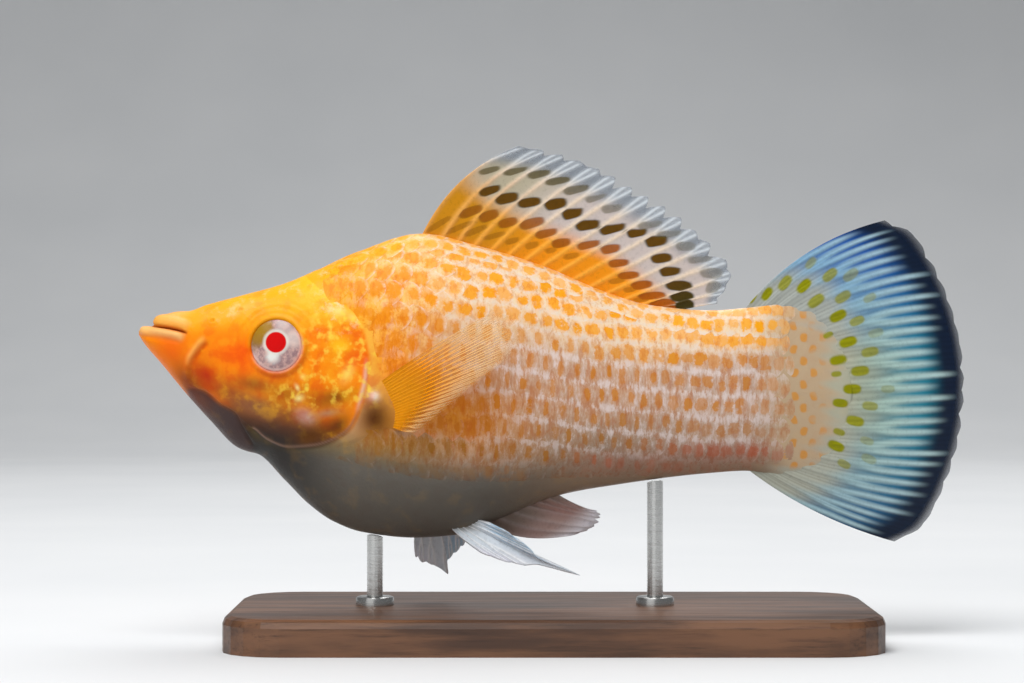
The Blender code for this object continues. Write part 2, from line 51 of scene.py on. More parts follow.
fishLength = 82.7
axisHeight = 25.2

# The body's outline from the side, its half width and the shape of its sections, along x. The tail end runs
# out into a thin edge, so that the skin passes into the tail fin without a step.
profile = {
    "top": [
        (0.0, 5.7), (0.5, 5.95), (1.3, 6.15), (1.8, 6.7), (2.5, 7.25), (3.6, 7.55), (5.0, 7.65), (6.8, 8.3),
        (10.5, 9.3), (14.6, 10.45), (21.8, 13.6), (28.2, 15.45), (34.2, 14.15), (40.7, 12.1), (46.2, 9.8),
        (51.2, 8.3), (57.3, 7.8), (61.0, 8.1), (64.0, 8.45), (66.5, 8.1), (68.8, 6.3), (70.4, 3.7),
        (71.3, 0.5),
    ],
    "bottom": [
        (0.0, 5.3), (0.6, 4.4), (2.4, 2.3), (4.6, -0.4), (7.2, -3.3), (9.8, -5.9), (10.9, -6.35),
        (11.9, -6.6), (14.6, -9.2), (17.0, -11.6), (19.4, -13.3), (22.4, -14.4), (27.4, -14.95),
        (32.2, -14.6), (36.2, -13.0), (41.7, -10.8), (46.2, -9.9), (57.3, -8.55), (60.6, -8.35),
        (64.0, -8.7), (66.5, -8.3), (68.8, -6.9), (70.4, -4.5), (71.3, -1.2),
    ],
    "halfWidth": [
        (0.0, 0.3), (0.4, 1.2), (1.2, 2.0), (2.5, 2.6), (5.4, 3.3), (9.8, 4.15), (14.0, 4.8), (19.4, 5.8),
        (25.0, 6.45), (30.0, 6.6), (36.0, 6.2), (43.7, 5.05), (51.2, 3.85), (60.2, 2.6), (65.7, 1.35),
        (69.0, 0.55), (71.3, 0.17),
    ],
    "widest": [
        (0.0, 5.5), (2.5, 4.6), (6.2, 3.1), (14.6, 1.2), (24.2, -0.7), (30.0, -1.0), (43.7, -0.1),
        (71.3, -0.4),
    ],
    "crown": [(0.0, 2.4), (6.0, 2.9), (15.0, 2.7), (28.0, 2.0), (58.0, 2.0), (66.0, 1.35), (71.3, 1.2)],
    "keel": [(0.0, 2.2), (8.0, 1.8), (18.0, 2.0), (30.0, 2.2), (58.0, 2.0), (66.0, 1.35), (71.3, 1.2)],
}
bodyEnd = 71.3


def toModel(points):
    # Points of the fish's frame in millimetres, as metres in the model's frame
    return (np.asarray(points, float) + (-fishLength / 2, 0, axisHeight)) * mm


def curveThrough(points):
    # A smooth curve through points that never overshoots them, which takes numbers and arrays
    xs, ys = np.array(points, float).T
    slopes = np.diff(ys) / np.diff(xs)
    product, total = slopes[:-1] * slopes[1:], slopes[:-1] + slopes[1:]
    joined = np.where(product > 0, 2 * product / np.where(product > 0, total, 1), 0)
    tangents = np.concatenate([slopes[:1], joined, slopes[-1:]])

    def at(x):
        x = np.clip(x, xs[0], xs[-1])
        i = np.clip(np.searchsorted(xs, x) - 1, 0, len(xs) - 2)
        span = xs[i + 1] - xs[i]
        t = (x - xs[i]) / span
        ends = ys[i] * (1 + 2 * t) * (1 - t) ** 2 + ys[i + 1] * t * t * (3 - 2 * t)
        return ends + span * (tangents[i] * t * (1 - t) ** 2 - tangents[i + 1] * t * t * (1 - t))

    return at


body = {name: curveThrough(points) for name, points in profile.items()}


def alongPoints(points, share):
    # Places on a smooth line through points, at shares from 0 at the first point to 1 at the last
    keys = np.linspace(0, 1, len(points))
    return np.stack([curveThrough(list(zip(keys, values)))(share) for values in zip(*points)], -1)


def ease(value, start, end):
    # 0 before start and 1 after end, smooth between them; start may be the larger
    t = np.clip((value - start) / (end - start), 0, 1)
    return t * t * (3 - 2 * t)


def hump(value, centre, width):
    return np.exp(-(((value - centre) / width) ** 2))


def blob(x, z, centre, radii, turn=0.0):
    # A soft oval patch, 1 at its centre, its long axis turned by degrees from level
    c, s = math.cos(math.radians(turn)), math.sin(math.radians(turn))
    dx, dz = x - centre[0], z - centre[1]
    return np.exp(-(((dx * c + dz * s) / radii[0]) ** 2) - ((-dx * s + dz * c) / radii[1]) ** 2)


def bluntOval(u, v):
    # 1 in a blunt oval that reaches to 1 along u and v, 0 outside it, with a soft edge
    return ease((np.abs(u) ** 2.6 + np.abs(v) ** 2.6) ** (1 / 2.6), 1.15, 0.85)


def lineField(line, x, z):
    # For a smooth line through the points: the distance to it, positive on its left, and the share of its
    # length at the nearest place
    line = alongPoints(line, np.linspace(0, 1, (len(line) - 1) * 5 + 1))
    lengths = np.linalg.norm(np.diff(line, axis=0), axis=1)
    starts = np.concatenate([[0], np.cumsum(lengths)])
    best, side, share = np.full(np.shape(x), 1e9), np.zeros(np.shape(x)), np.zeros(np.shape(x))
    for (ax, az), (bx, bz), length, start in zip(line, line[1:], lengths, starts):
        ux, uz = (bx - ax) / length, (bz - az) / length
        t = np.clip((x - ax) * ux + (z - az) * uz, 0, length)
        dx, dz = x - ax - t * ux, z - az - t * uz
        distance = np.hypot(dx, dz)
        nearer = distance < best
        best = np.where(nearer, distance, best)
        side = np.where(nearer, ux * dz - uz * dx, side)
        share = np.where(nearer, (start + t) / starts[-1], share)
    return best * np.where(side < 0, -1, 1), share


def linear(hexColour):
    # An sRGB colour such as #FFA020 as linear red, green and blue
    values = np.array([int(hexColour[i : i + 2], 16) for i in (1, 3, 5)]) / 255
    return np.where(values <= 0.04045, values / 12.92, ((values + 0.055) / 1.055) ** 2.4)


def plain(shape, hexColour):
    # One colour for every point of an array
    return np.broadcast_to(linear(hexColour), (*shape, 3)).copy()


def layered(base, *layers):
    # Lays colours over a base one after another, each as (colour, amount from 0 to 1)
    for colour, amount in layers:
        if isinstance(colour, str):
            colour = linear(colour)
        amount = np.clip(amount, 0, 1)[..., None]
        base = base * (1 - amount) + colour * amount
    return base


# The body's surface as a table: for each place along x, points at even shares of the half girth from the
# keel (0) to the crown (1) on the right side

tableStep = 0.1
tableXs = np.arange(0, bodyEnd + tableStep / 2, tableStep)
tableShares = np.linspace(0, 1, 201)


def makeBodyTable():
    angles = np.linspace(-math.pi / 2, math.pi / 2, 601)
    up, across = np.sin(angles)[None, :], np.maximum(np.cos(angles), 0)[None, :]
    x = tableXs[:, None]
    power = np.where(up > 0, body["crown"](x), body["keel"](x))
    widest = body["widest"](x)
    height = np.where(up > 0, body["top"](x) - widest, widest - body["bottom"](x))
    y = body["halfWidth"](x) * across ** (2 / power)
    z = widest + height * np.sign(up) * np.abs(up) ** (2 / power)
    arcs = np.cumsum(np.hypot(np.diff(y, axis=1), np.diff(z, axis=1)), axis=1)
    arcs = np.concatenate([np.zeros((len(tableXs), 1)), arcs], axis=1)
    points = np.empty((len(tableXs), len(tableShares), 3))
    points[..., 0] = x
    for i, arc in enumerate(arcs):
        points[i, :, 1] = np.interp(tableShares * arc[-1], arc, y[i])
        points[i, :, 2] = np.interp(tableShares * arc[-1], arc, z[i])
    normals = np.cross(np.gradient(points, axis=0), np.gradient(points, axis=1))
    normals[:, [0, -1], 1] = 0
    normals /= np.linalg.norm(normals, axis=2)[..., None] + 1e-12
    middle = normals[:, len(tableShares) // 2, 1]
    return points, normals * np.sign(middle)[:, None, None], arcs[:, -1]


bodyTable, normalTable, halfGirths = makeBodyTable()


def lookUp(table, x, share):
    # Reads a table of the surface between its points
    i = np.clip(x / tableStep, 0, len(tableXs) - 1.001)
    j = np.clip(share * (len(tableShares) - 1), 0, len(tableShares) - 1.001)
    i0, j0 = i.astype(int), j.astype(int)
    u, v = (i - i0)[..., None], (j - j0)[..., None]
    low = table[i0, j0] * (1 - v) + table[i0, j0 + 1] * v
    high = table[i0 + 1, j0] * (1 - v) + table[i0 + 1, j0 + 1] * v
    return low * (1 - u) + high * u


def onBody(x, share, lift=0.0):
    # Points at a height over the right side's surface. A share past 0 or 1 runs on over the midline
    folded = np.abs(share)
    folded = np.where(folded > 1, 2 - folded, folded)
    mirror = np.where((share < 0) | (share > 1), -1.0, 1.0)
    point = lookUp(bodyTable, x, folded) + lookUp(normalTable, x, folded) * np.asarray(lift)[..., None]
    point[..., 1] *= mirror
    return point


def halfGirth(x):
    return np.interp(x, tableXs, halfGirths)


def shareAtHeight(x, z):
    # The share of the half girth at which the side reaches a height
    x, z = np.broadcast_arrays(np.asarray(x, float), np.asarray(z, float))
    shares = np.empty(x.shape)
    for place in np.ndindex(x.shape):
        i = int(np.clip(round(x[place] / tableStep), 0, len(tableXs) - 1))
        shares[place] = np.interp(z[place], bodyTable[i, :, 2], tableShares)
    return shares


# Meshes

def addObject(name, data):
    obj = bpy.data.objects.new(name, data)
    bpy.context.scene.collection.objects.link(obj)
    return obj


def meshFrom(name, points, faces):
    # A smooth object from points in metres in the model's frame, its faces turned outwards
    mesh = bpy.data.meshes.new(name)
    mesh.from_pydata(np.asarray(points).tolist(), [], [tuple(face) for face in faces])
    bm = bmesh.new()
    bm.from_mesh(mesh)
    bmesh.ops.recalc_face_normals(bm, faces=bm.faces)
    bm.to_mesh(mesh)
    bm.free()
    mesh.shade_smooth()
    return addObject(name, mesh)


def setAttribute(obj, name, values):
    # A value, a vector or a linear colour for each point, which the materials read by name
    values = np.asarray(values, np.float32)
    kind, field = ("FLOAT", "value") if values.ndim == 1 else ("FLOAT_VECTOR", "vector")
    obj.data.attributes.new(name, kind, "POINT").data.foreach_set(field, values.ravel())


def gridFaces(rows, columns, closed=False):
    # The quads of a grid of points; closed joins the last column to the first
    index = np.arange(rows * columns).reshape(rows, columns)
    right = np.roll(index, -1, axis=1) if closed else index[:, 1:]
    left = index if closed else index[:, :-1]
    return np.stack([left[:-1], right[:-1], right[1:], left[1:]], -1).reshape(-1, 4)


def plateFaces(rows, columns):
    # The faces of a closed plate: one grid of points, the same again below it, and the walls between them
    top = gridFaces(rows, columns)
    count = rows * columns
    loop = np.concatenate([
        np.arange(columns), np.arange(1, rows) * columns + columns - 1,
        (rows - 1) * columns + np.arange(columns - 2, -1, -1), np.arange(rows - 2, 0, -1) * columns,
    ])
    wall = np.stack([loop, np.roll(loop, -1), np.roll(loop, -1) + count, loop + count], -1)
    return np.concatenate([top, top[:, ::-1] + count, wall[:, ::-1]])


def onBothFaces(parts):
    # The values of plates, each part twice: for its upper and its lower grid of points
    return np.concatenate([part for part in parts for _ in range(2)])


# Materials

smooth = {"interpolation_type": "SMOOTHSTEP"}
wet = {"Coat Weight": 0.06, "Coat Roughness": 0.2, "Specular IOR Level": 0.1}


def addNode(tree, kind, inputs, output=0, **settings):
    # Adds a node and gives one of its outputs. Its inputs, a list in their order or a dictionary by their
    # names, are numbers, colours in hex, or the outputs that they are linked from
    node = tree.nodes.new("ShaderNode" + kind)
    for name, value in settings.items():
        setattr(node, name, value)
    if isinstance(inputs, list):
        sockets = [socket for socket in node.inputs if socket.enabled]
    else:
        sockets, inputs = [node.inputs[name] for name in inputs], inputs.values()
    for socket, value in zip(sockets, inputs):
        if isinstance(value, bpy.types.NodeSocket):
            tree.links.new(value, socket)
        elif isinstance(value, str):
            socket.default_value = (*linear(value).tolist(), 1.0)
        else:
            socket.default_value = value
    if isinstance(output, str):
        return node.outputs[output]
    found = [socket for socket in node.outputs if socket.enabled]
    return found[output] if found else None


def newMaterial(name):
    # A new material, the function that adds nodes to it, and the place on the model that its patterns are
    # read from
    made = bpy.data.materials.new(name)
    made.use_nodes = True
    made.node_tree.nodes.clear()
    add = functools.partial(addNode, made.node_tree)
    return made, add, add("TexCoord", {}, "Object")


def readVector(add, name):
    # The three numbers of a vector that the mesh holds for each point
    return add("SeparateXYZ", [add("Attribute", {}, "Vector", attribute_name=name)]).node.outputs


def overlay(add, colour, tint, value, levels, weight=None, blend="MIX"):
    # Lays a tint over a colour where a value runs through levels, given as (start, end, most at the end),
    # and by a weight if there is one
    start, end, most = levels
    amount = add("MapRange", [value, start, end, 0.0, most], **smooth)
    if weight is not None:
        amount = add("Math", [amount, weight], operation="MULTIPLY")
    return add("Mix", [amount, colour, tint], data_type="RGBA", blend_type=blend)


def finish(add, inputs):
    add("OutputMaterial", {"Surface": add("BsdfPrincipled", inputs)})


def dress(obj, material, slot, *nodes):
    # Gives a piece its material and body, and hides the CAD nodes that it stands for; the slot is not used
    obj.data.materials.clear()
    obj.data.materials.append(material)
    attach(obj, "root")
    if nodes:
        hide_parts(*nodes)


# Camera: level, square to the fish's left side, one pixel to a tenth of a millimetre at its mid plane

camera = {
    "lens": 100.0, "sensor": 36.0, "imageWidth": 1024, "pixel": 0.1, "centre": (37.3, 4.65), "near": 0.01,
}


def makeCamera():
    data = bpy.data.cameras.new("camera")
    data.lens = camera["lens"]
    data.sensor_width = camera["sensor"]
    data.clip_start = camera["near"]
    obj = addObject("camera", data)
    distance = camera["lens"] * camera["imageWidth"] * camera["pixel"] / camera["sensor"]
    x, z = camera["centre"]
    obj.location = toModel((x, -distance, z))
    obj.rotation_euler = (math.radians(90), 0, 0)
    bpy.context.scene.camera = obj
    print("camera made")


# Head: its lines seen from the side, and soft patches of colour as (colour, x, z, radii, turn, amount);
# the small pale yellow patches on the gill cover and cheek are painted glints. The skin is painted darker
# below the line "shade", as painted shade under the head, and its pattern fades out below the line "calm".

head = {
    "mouth": [(0.8, 6.3), (1.9, 6.2), (3.3, 6.0), (4.5, 5.72), (5.3, 5.4)],
    "jawFold": [(7.3, 5.1), (6.7, 4.45), (6.0, 3.6), (5.5, 2.7), (5.35, 1.6), (5.6, 0.4)],
    "cheek": [
        (17.9, 7.6), (18.0, 5.0), (17.9, 2.9), (17.4, 0.6), (16.3, -1.6), (14.8, -3.1), (12.8, -3.9),
        (10.9, -4.1),
    ],
    "gillCover": [
        (20.4, 8.2), (22.0, 6.8), (22.9, 4.8), (23.2, 2.8), (23.1, 1.0), (22.7, -0.8), (22.2, -2.4),
        (21.4, -3.9), (19.8, -5.0), (18.0, -5.6), (15.3, -5.8), (13.2, -5.1), (11.8, -4.0),
    ],
    "throat": [(3.9, 1.5), (5.1, 0.1), (6.8, -0.3), (8.4, -1.55), (9.9, -2.5), (10.6, -3.9), (11.8, -6.0)],
    "shade": [(3.6, -1.6), (5.4, -0.1), (8.5, -0.9), (13.0, -1.8), (17.5, -3.0), (22.0, -5.0)],
    "calm": [(2.0, 0.6), (6.0, -0.6), (12.0, -2.4), (17.5, -4.0), (22.0, -6.4), (30.0, -7.4)],
    "cover": 0.1,
    "nostrils": [(7.7, 6.7), (10.5, 7.8)],
    "patches": [
        ("#FDBC5E", 3.3, 7.3, (2.1, 0.8), 8, 1.0), ("#FFC060", 10.8, 8.0, (1.7, 0.5), 25, 0.5),
        ("#F1AC23", 7.6, 7.4, (2.6, 0.6), 14, 0.9), ("#FF6C00", 10.6, 3.6, (3.2, 1.6), -25, 1.0),
        ("#F96C03", 3.6, 3.9, (1.9, 2.0), 0, 0.95), ("#C83C00", 6.9, 1.3, (2.3, 1.2), -35, 1.0),
        ("#A24210", 9.4, -0.4, (1.9, 0.9), -18, 0.85), ("#8E5A3C", 12.0, -1.8, (2.9, 1.1), -15, 0.85),
        ("#A6661B", 11.9, 0.4, (2.2, 0.8), -8, 0.9), ("#B86E09", 15.2, -0.6, (2.0, 1.2), 0, 0.9),
        ("#E06A04", 14.9, 1.2, (1.3, 0.7), 0, 0.7), ("#FF7E00", 18.1, 4.9, (1.6, 1.5), 0, 0.9),
        ("#F86400", 22.0, 4.3, (1.5, 1.7), 0, 0.85), ("#FB7400", 23.0, 2.2, (1.0, 1.3), 0, 0.7),
        ("#B46404", 18.6, -1.4, (2.2, 1.3), 0, 0.85), ("#8A4C02", 20.2, -0.8, (1.5, 0.65), 8, 0.9),
        # The small pale yellow patches among the next ones are painted glints on the gill cover and cheek
        ("#FFE066", 21.2, 1.5, (0.9, 0.5), 60, 0.8), ("#FFE88A", 20.3, 7.6, (0.7, 0.45), 0, 0.85),
        ("#FFDC78", 21.8, 7.1, (0.6, 0.4), 0, 0.7), ("#FFC81E", 20.4, 4.2, (1.3, 0.9), 0, 0.8),
        ("#FFE890", 16.4, -0.9, (0.42, 0.3), 20, 0.95), ("#FFF0A0", 16.2, 0.15, (0.3, 0.18), -60, 0.9),
        ("#FFE070", 16.8, 1.2, (0.3, 0.25), 0, 0.8), ("#C4A89C", 17.0, -2.7, (0.9, 0.6), -25, 0.8),
        ("#A88468", 19.2, -2.4, (1.1, 0.35), 10, 0.7), ("#5E3404", 17.5, -4.7, (1.5, 0.85), 12, 1.0),
        ("#6E3C04", 20.2, -3.6, (1.5, 1.0), 30, 0.95), ("#E8960A", 22.0, -0.2, (0.8, 0.35), 12, 0.7),
        ("#86360E", 5.4, 0.4, (2.2, 1.1), -45, 0.95),
    ],
    # The axil is a hollow behind the gill cover, painted dark brown as its shadow, and the glint a small
    # knob with a painted highlight on it
    "axil": (23.9, -2.9), "glint": (23.8, -0.7),
}
eye = {
    "centre": (14.15, 4.25), "radius": 2.42, "bulge": 0.62, "sunk": 0.12, "pupil": 1.02, "pupilUp": 0.3,
    "underSkin": 0.12, "back": 1.5, "tilt": 0.55,
}


def headRelief(x, z):
    # How far the head's surface stands out of the plain body, in millimetres
    mouth, share = lineField(head["mouth"], x, z)
    lips = 0.3 * hump(mouth, 0.6, 0.45) + 0.24 * hump(mouth, -0.5, 0.38)
    lips -= 0.1 * hump(mouth, 1.35, 0.25) + 0.1 * hump(mouth, -1.15, 0.25) + 0.5 * hump(mouth, 0.0, 0.13)
    relief = lips * (1 - ease(share, 0.8, 1.0)) + 0.12 * blob(x, z, (3.3, 7.3), (1.9, 0.6), 8)
    fold, share = lineField(head["jawFold"], x, z)
    fade = ease(share, 0.0, 0.2) * (1 - ease(share, 0.75, 1.0))
    relief += (0.13 * hump(fold, -0.25, 0.32) - 0.13 * hump(fold, 0.25, 0.26)) * fade
    relief -= 0.12 * blob(x, z, (7.2, 2.6), (1.1, 1.0), -40)
    # The rim of the eye's socket, the socket, and fine folds above it
    radius = np.hypot(x - eye["centre"][0], z - eye["centre"][1])
    relief += 0.16 * hump(radius, eye["radius"] + 0.36, 0.25)
    relief -= 1.5 * ease(radius, eye["radius"] + 0.1, eye["radius"] - 0.15)
    folds = ease(radius, 2.9, 3.5) * ease(radius, 5.0, 4.0) * ease(z, 3.0, 6.0)
    relief += 0.022 * np.cos((radius - 3.4) * 2 * math.pi / 0.7) * folds
    cover, share = lineField(head["gillCover"], x, z)
    onCover = ease(cover, 0.12, -0.16) * ease(cover, -4.0, -1.0) * ease(x, 9.0, 12.0)
    relief += (head["cover"] * onCover - 0.06 * hump(cover, 0.24, 0.2)) * ease(share, 0.2, 0.36)
    relief -= 0.035 * hump(cover, -0.85, 0.18) * ease(share, 0.45, 0.6)
    relief -= 0.16 * blob(x, z, head["axil"], (1.4, 1.6)) * ease(cover, -0.1, 0.3)
    relief += 0.16 * blob(x, z, head["glint"], (0.6, 0.45))
    cheek, share = lineField(head["cheek"], x, z)
    fade = ease(share, 0.3, 0.5) * (1 - ease(share, 0.88, 1.0))
    relief += (0.04 * hump(cheek, -0.5, 0.3) - 0.05 * hump(cheek, 0.05, 0.2)) * fade
    throat, share = lineField(head["throat"], x, z)
    fade = ease(share, 0.1, 0.3) * (1 - ease(share, 0.9, 1.0))
    relief -= (0.12 * hump(throat, 0.0, 0.17) - 0.07 * hump(throat, 0.5, 0.35)) * fade
    for nx, nz in head["nostrils"]:
        nostril = np.hypot(x - nx, (z - nz) * 1.2)
        relief += 0.05 * hump(nostril, 0.34, 0.13) - 0.2 * hump(nostril, 0.0, 0.16)
    return relief


# Flank: the height under which the belly is plain grey, and the belly's colours: its pale grey, painted
# darker as shade under the body, most of all at the front

flank = {
    "floor": curveThrough([
        (10, -4.8), (15, -6.2), (20, -7.2), (25, -8.2), (30, -9.0), (36, -9.3), (42, -9.0), (50, -9.0),
        (60, -8.7), (72, -8.8),
    ]),
    "belly": "#68635B", "bellyFront": "#33302D", "bellyRear": "#96806A", "stalk": "#C4AA8A",
}
# The rounded end of the tail stalk: where its curve starts, how tall it is and how far back it reaches
stalkEnd = {"start": 63.5, "flatness": 0.68, "reach": 7.3}


def flankColours(x, z):
    # For the scaled side: the colours between the spots and of the spots, how strong these are, how far they
    # run together, their half length and half height, and how pearly the ground is
    shape, floor = np.shape(x), flank["floor"](x)
    height = np.clip((z - body["bottom"](x)) / (body["top"](x) - body["bottom"](x)), 0, 1)
    front, rear, rosy = ease(x, 34, 24), ease(x, 48, 57), ease(x, 40, 47)
    low, middle = ease(height, 0.45, 0.2), ease(height, 0.2, 0.4) * ease(height, 0.8, 0.6)
    golden = blob(x, z, (31.5, -2.6), (7.0, 3.8), -8)
    start = ease(x - scaleFront(z), -0.5, 3.0)
    belly = ease(z, floor + 3.4, floor - 0.4)
    # The belly's pale grey, painted darker as shade under the body
    grey = layered(
        plain(shape, flank["belly"]),
        (flank["bellyFront"], ease(x, 22, 14)), (flank["bellyRear"], ease(x, 34, 46)),
    )
    ground = layered(
        plain(shape, "#CDA88E"),
        # Paler high on the flank and darker low on it: the darker low part is painted shade, the paler high
        # part partly painted light from above
        ("#F8DCB4", ease(height, 0.56, 0.82)), ("#AA927C", low), ("#CDB2A0", rear * middle),
        ("#C8AE9C", rear * low), ("#A88472", ease(height, 0.24, 0.1) * rosy),
        ("#FFC244", front * ease(height, 0.36, 0.6) * 0.9), ("#D28204", golden * 0.95),
        ("#8E7634", front * ease(height, 0.42, 0.28) * 0.85),
        ("#C07A10", blob(x, z, (25.0, -3.2), (3.6, 3.0)) * 0.85),
        ("#FFB018", ease(z, 3.0, 6.0) * ease(x, 25, 21)),
        ("#F89004", blob(x, z, (25.5, 3.0), (2.4, 3.6)) * 0.8), (flank["stalk"], ease(x, 60.5, 65.5)),
        # In the axil under the pectoral fin's base a dark brown painted shadow
        (grey, belly), ("#562A02", blob(x, z, head["axil"], (1.5, 1.7))),
    )
    spots = layered(
        plain(shape, "#CE8434"),
        # The spots too are paler high and darker low, partly as painted light and shade
        ("#FBA614", ease(height, 0.6, 0.82)), ("#AE7636", low), ("#CE8842", rear * middle),
        ("#C08A5C", rear * low), ("#B86C50", ease(height, 0.26, 0.14) * rosy),
        ("#F49408", front * ease(height, 0.35, 0.6) * 0.8),
        ("#EC8204", blob(x, z, (26, 3), (4.5, 5.0)) * 0.8),
        ("#C66C02", golden * 0.9), ("#8A5A08", ease(x, 40, 28) * ease(height, 0.42, 0.25)),
    )
    amount = ease(z, floor + 0.3, floor + 2.4) * (1 - 0.7 * ease(x, 60, 66.5)) * (0.4 + 0.6 * start)
    flush = 0.95 * front * ease(z, -6.0, -3.0) + 0.7 * golden + 0.22
    halfLength = 0.27 + 0.36 * ease(height, 0.6, 0.82) + 0.2 * rear
    halfHeight = 0.7 - 0.06 * ease(height, 0.6, 0.85) - 0.06 * rear - 0.08 * low
    pearl = (0.35 + 0.6 * ease(x, 26, 38) * ease(x, 66, 60)) * ease(z, floor, floor + 5.0)
    pearl = pearl * (1 - 0.95 * golden) * (1 - 0.35 * ease(height, 0.56, 0.8))
    return ground, spots, amount, np.clip(flush, 0, 1), halfLength, halfHeight, pearl * (1 - belly) * start


def stalkDepth(x, z):
    # How far a point lies past the rounded end of the tail stalk, in millimetres, and below 0 on it
    back, up = np.maximum(x - stalkEnd["start"], 0), np.abs(stalkEnd["flatness"] * z)
    return np.cbrt(back ** 3 + up ** 3) - stalkEnd["reach"]


def tailGround(x, z):
    # The pale ground of the tail's inner half: blue above and below, green grey and cream between
    angle = np.degrees(np.arctan2(z - tail["centre"][1], x - tail["centre"][0]))
    return layered(
        plain(np.shape(x), "#A4AE9C"),
        ("#7FA6C2", ease(angle, 8, 32)), ("#8CA6AC", ease(angle, -6, -30)),
        ("#BDB69E", ease(stalkDepth(x, z), 2.2, -0.6) * 0.7),
    )


def oliveSpots(x, z):
    # How far a point lies inside the tail's olive spots, whose long axes follow the rays
    total = np.zeros(np.shape(x))
    for spotX, spotZ, size, strength in tail["spots"]:
        turn = math.atan2(spotZ - tail["centre"][1], spotX - tail["centre"][0])
        c, s = math.cos(turn), math.sin(turn)
        along = ((x - spotX) * c + (z - spotZ) * s) / (tail["spotHalf"][0] * size)
        across = ((z - spotZ) * c - (x - spotX) * s) / (tail["spotHalf"][1] * size)
        total = np.maximum(total, bluntOval(along, across) * strength)
    return total


def skinColours(x, z):
    # The colour of the skin, laid on from the ground colour to the smallest mark
    crown, keel = body["top"](x), body["bottom"](x)
    height = (z - keel) / np.maximum(crown - keel, 0.5)
    shade, _ = lineField(head["shade"], x, z)
    throat, _ = lineField(head["throat"], x, z)
    shadedChin = ease(throat, 0.3, -0.3) * ease(x, 14.0, 11.0) * ease(x, 4.4, 5.6) * ease(z, 1.0, -0.4)
    cover, coverShare = lineField(head["gillCover"], x, z)
    rearEdge = ease(coverShare, 0.24, 0.32) * ease(coverShare, 0.5, 0.42)
    behind = np.maximum(ease(cover, -0.1, 0.4) * ease(x, 11, 12), ease(x, 23, 25))
    mouth, mouthShare = lineField(head["mouth"], x, z)
    lips = 1 - ease(mouthShare, 0.85, 1.0)
    fold, foldShare = lineField(head["jawFold"], x, z)
    folded = ease(foldShare, 0.0, 0.15) * ease(foldShare, 0.7, 0.45)
    dx, dz = x - eye["centre"][0], z - eye["centre"][1]
    rim, above = np.hypot(dx, dz) - eye["radius"], dz - 0.5 * dx
    # On the end of the body tan skin with a few orange squares fades out over the rays of the tail
    wander = 0.5 * np.sin(2.1 * z + 0.8) + 0.35 * np.sin(4.7 * z + x)
    rows, columns = np.sin(z * math.pi / 1.17 + 0.6), np.sin((x - 64) * math.pi / 0.95 + 0.5 * wander)
    squares = ease(rows * columns, 0.2, 0.55) * ease(x, 63.0, 65.5) * ease(x + 1.2 * wander, 69.0, 66.5)
    patches = (
        (tint, blob(x, z, (px, pz), radii, turn) * amount)
        for tint, px, pz, radii, turn, amount in head["patches"]
    )
    return layered(
        plain(x.shape, "#FF8C02"),
        ("#FEB010", ease(height, 0.62, 0.92)), ("#FECB30", ease(x, 13, 20) * ease(height, 0.66, 0.95)),
        # Painted shade under the head, darker downwards below the line "shade"
        ("#8E4E0C", ease(shade, 1.3, -0.3) * ease(x, 7.5, 10.5) * 0.9),
        ("#553422", ease(shade, 0.0, -1.6)), ("#332A26", ease(shade, -1.2, -3.0)),
        *patches,
        # A greyish mauve chin, painted darker as shade under the lower jaw
        ("#4A3A38", shadedChin * 0.95), ("#6A3826", shadedChin * blob(x, z, (6.0, -1.0), (1.8, 0.9), -48) * 0.9),
        ("#A07C68", hump(cover, -0.1, 0.13) * ease(coverShare, 0.42, 0.55) * 0.6),
        ("#F4CDB4", hump(cover, -0.15, 0.2) * rearEdge * 0.75),
        # Behind the gill cover the flank's colours with the axil's painted shadow, and a painted highlight
        # on the glint
        (flankColours(x, z)[0], behind), ("#FFEEDC", blob(x, z, head["glint"], (0.5, 0.4))),
        ("#FEC074", hump(mouth, -0.5, 0.42) * lips), ("#FDB65A", hump(mouth, 0.7, 0.5) * lips * 0.9),
        ("#A83E02", hump(mouth, 0.0, 0.14) * (1 - ease(mouthShare, 0.93, 1.0)) * 0.9),
        ("#FFA94E", hump(fold, -0.25, 0.28) * folded * 0.9),
        ("#C43E00", hump(fold, 0.3, 0.26) * folded * 0.7),
        ("#E0A08C", hump(rim, 0.14, 0.15) * ease(above, 0.6, -0.8) * 0.95),
        ("#D88A08", hump(rim, 0.2, 0.25) * ease(above, 0.2, 1.8) * 0.6),
        ("#C85004", hump(rim, 0.6, 0.3) * ease(above, -0.5, -2.5) * 0.6),
        ("#4A2A18", ease(rim, -0.02, -0.2)),
        (flank["stalk"], ease(x, 62.5, 66.0)), ("#D8902E", squares * 0.8),
        (tailGround(x, z), ease(stalkDepth(x, z) + wander, -2.6, -0.4) * ease(x, 61.5, 64.5)),
        (tail["olive"], oliveSpots(x, z)),
    )


# Skin: its rings of points along x as (from, to, step), and the points of a ring from keel to crown

skin = {
    "rings": [(0, 1.2, 0.06), (1.2, 25.6, 0.1), (25.6, 63, 0.25), (63, bodyEnd, 0.1)], "points": 161,
}


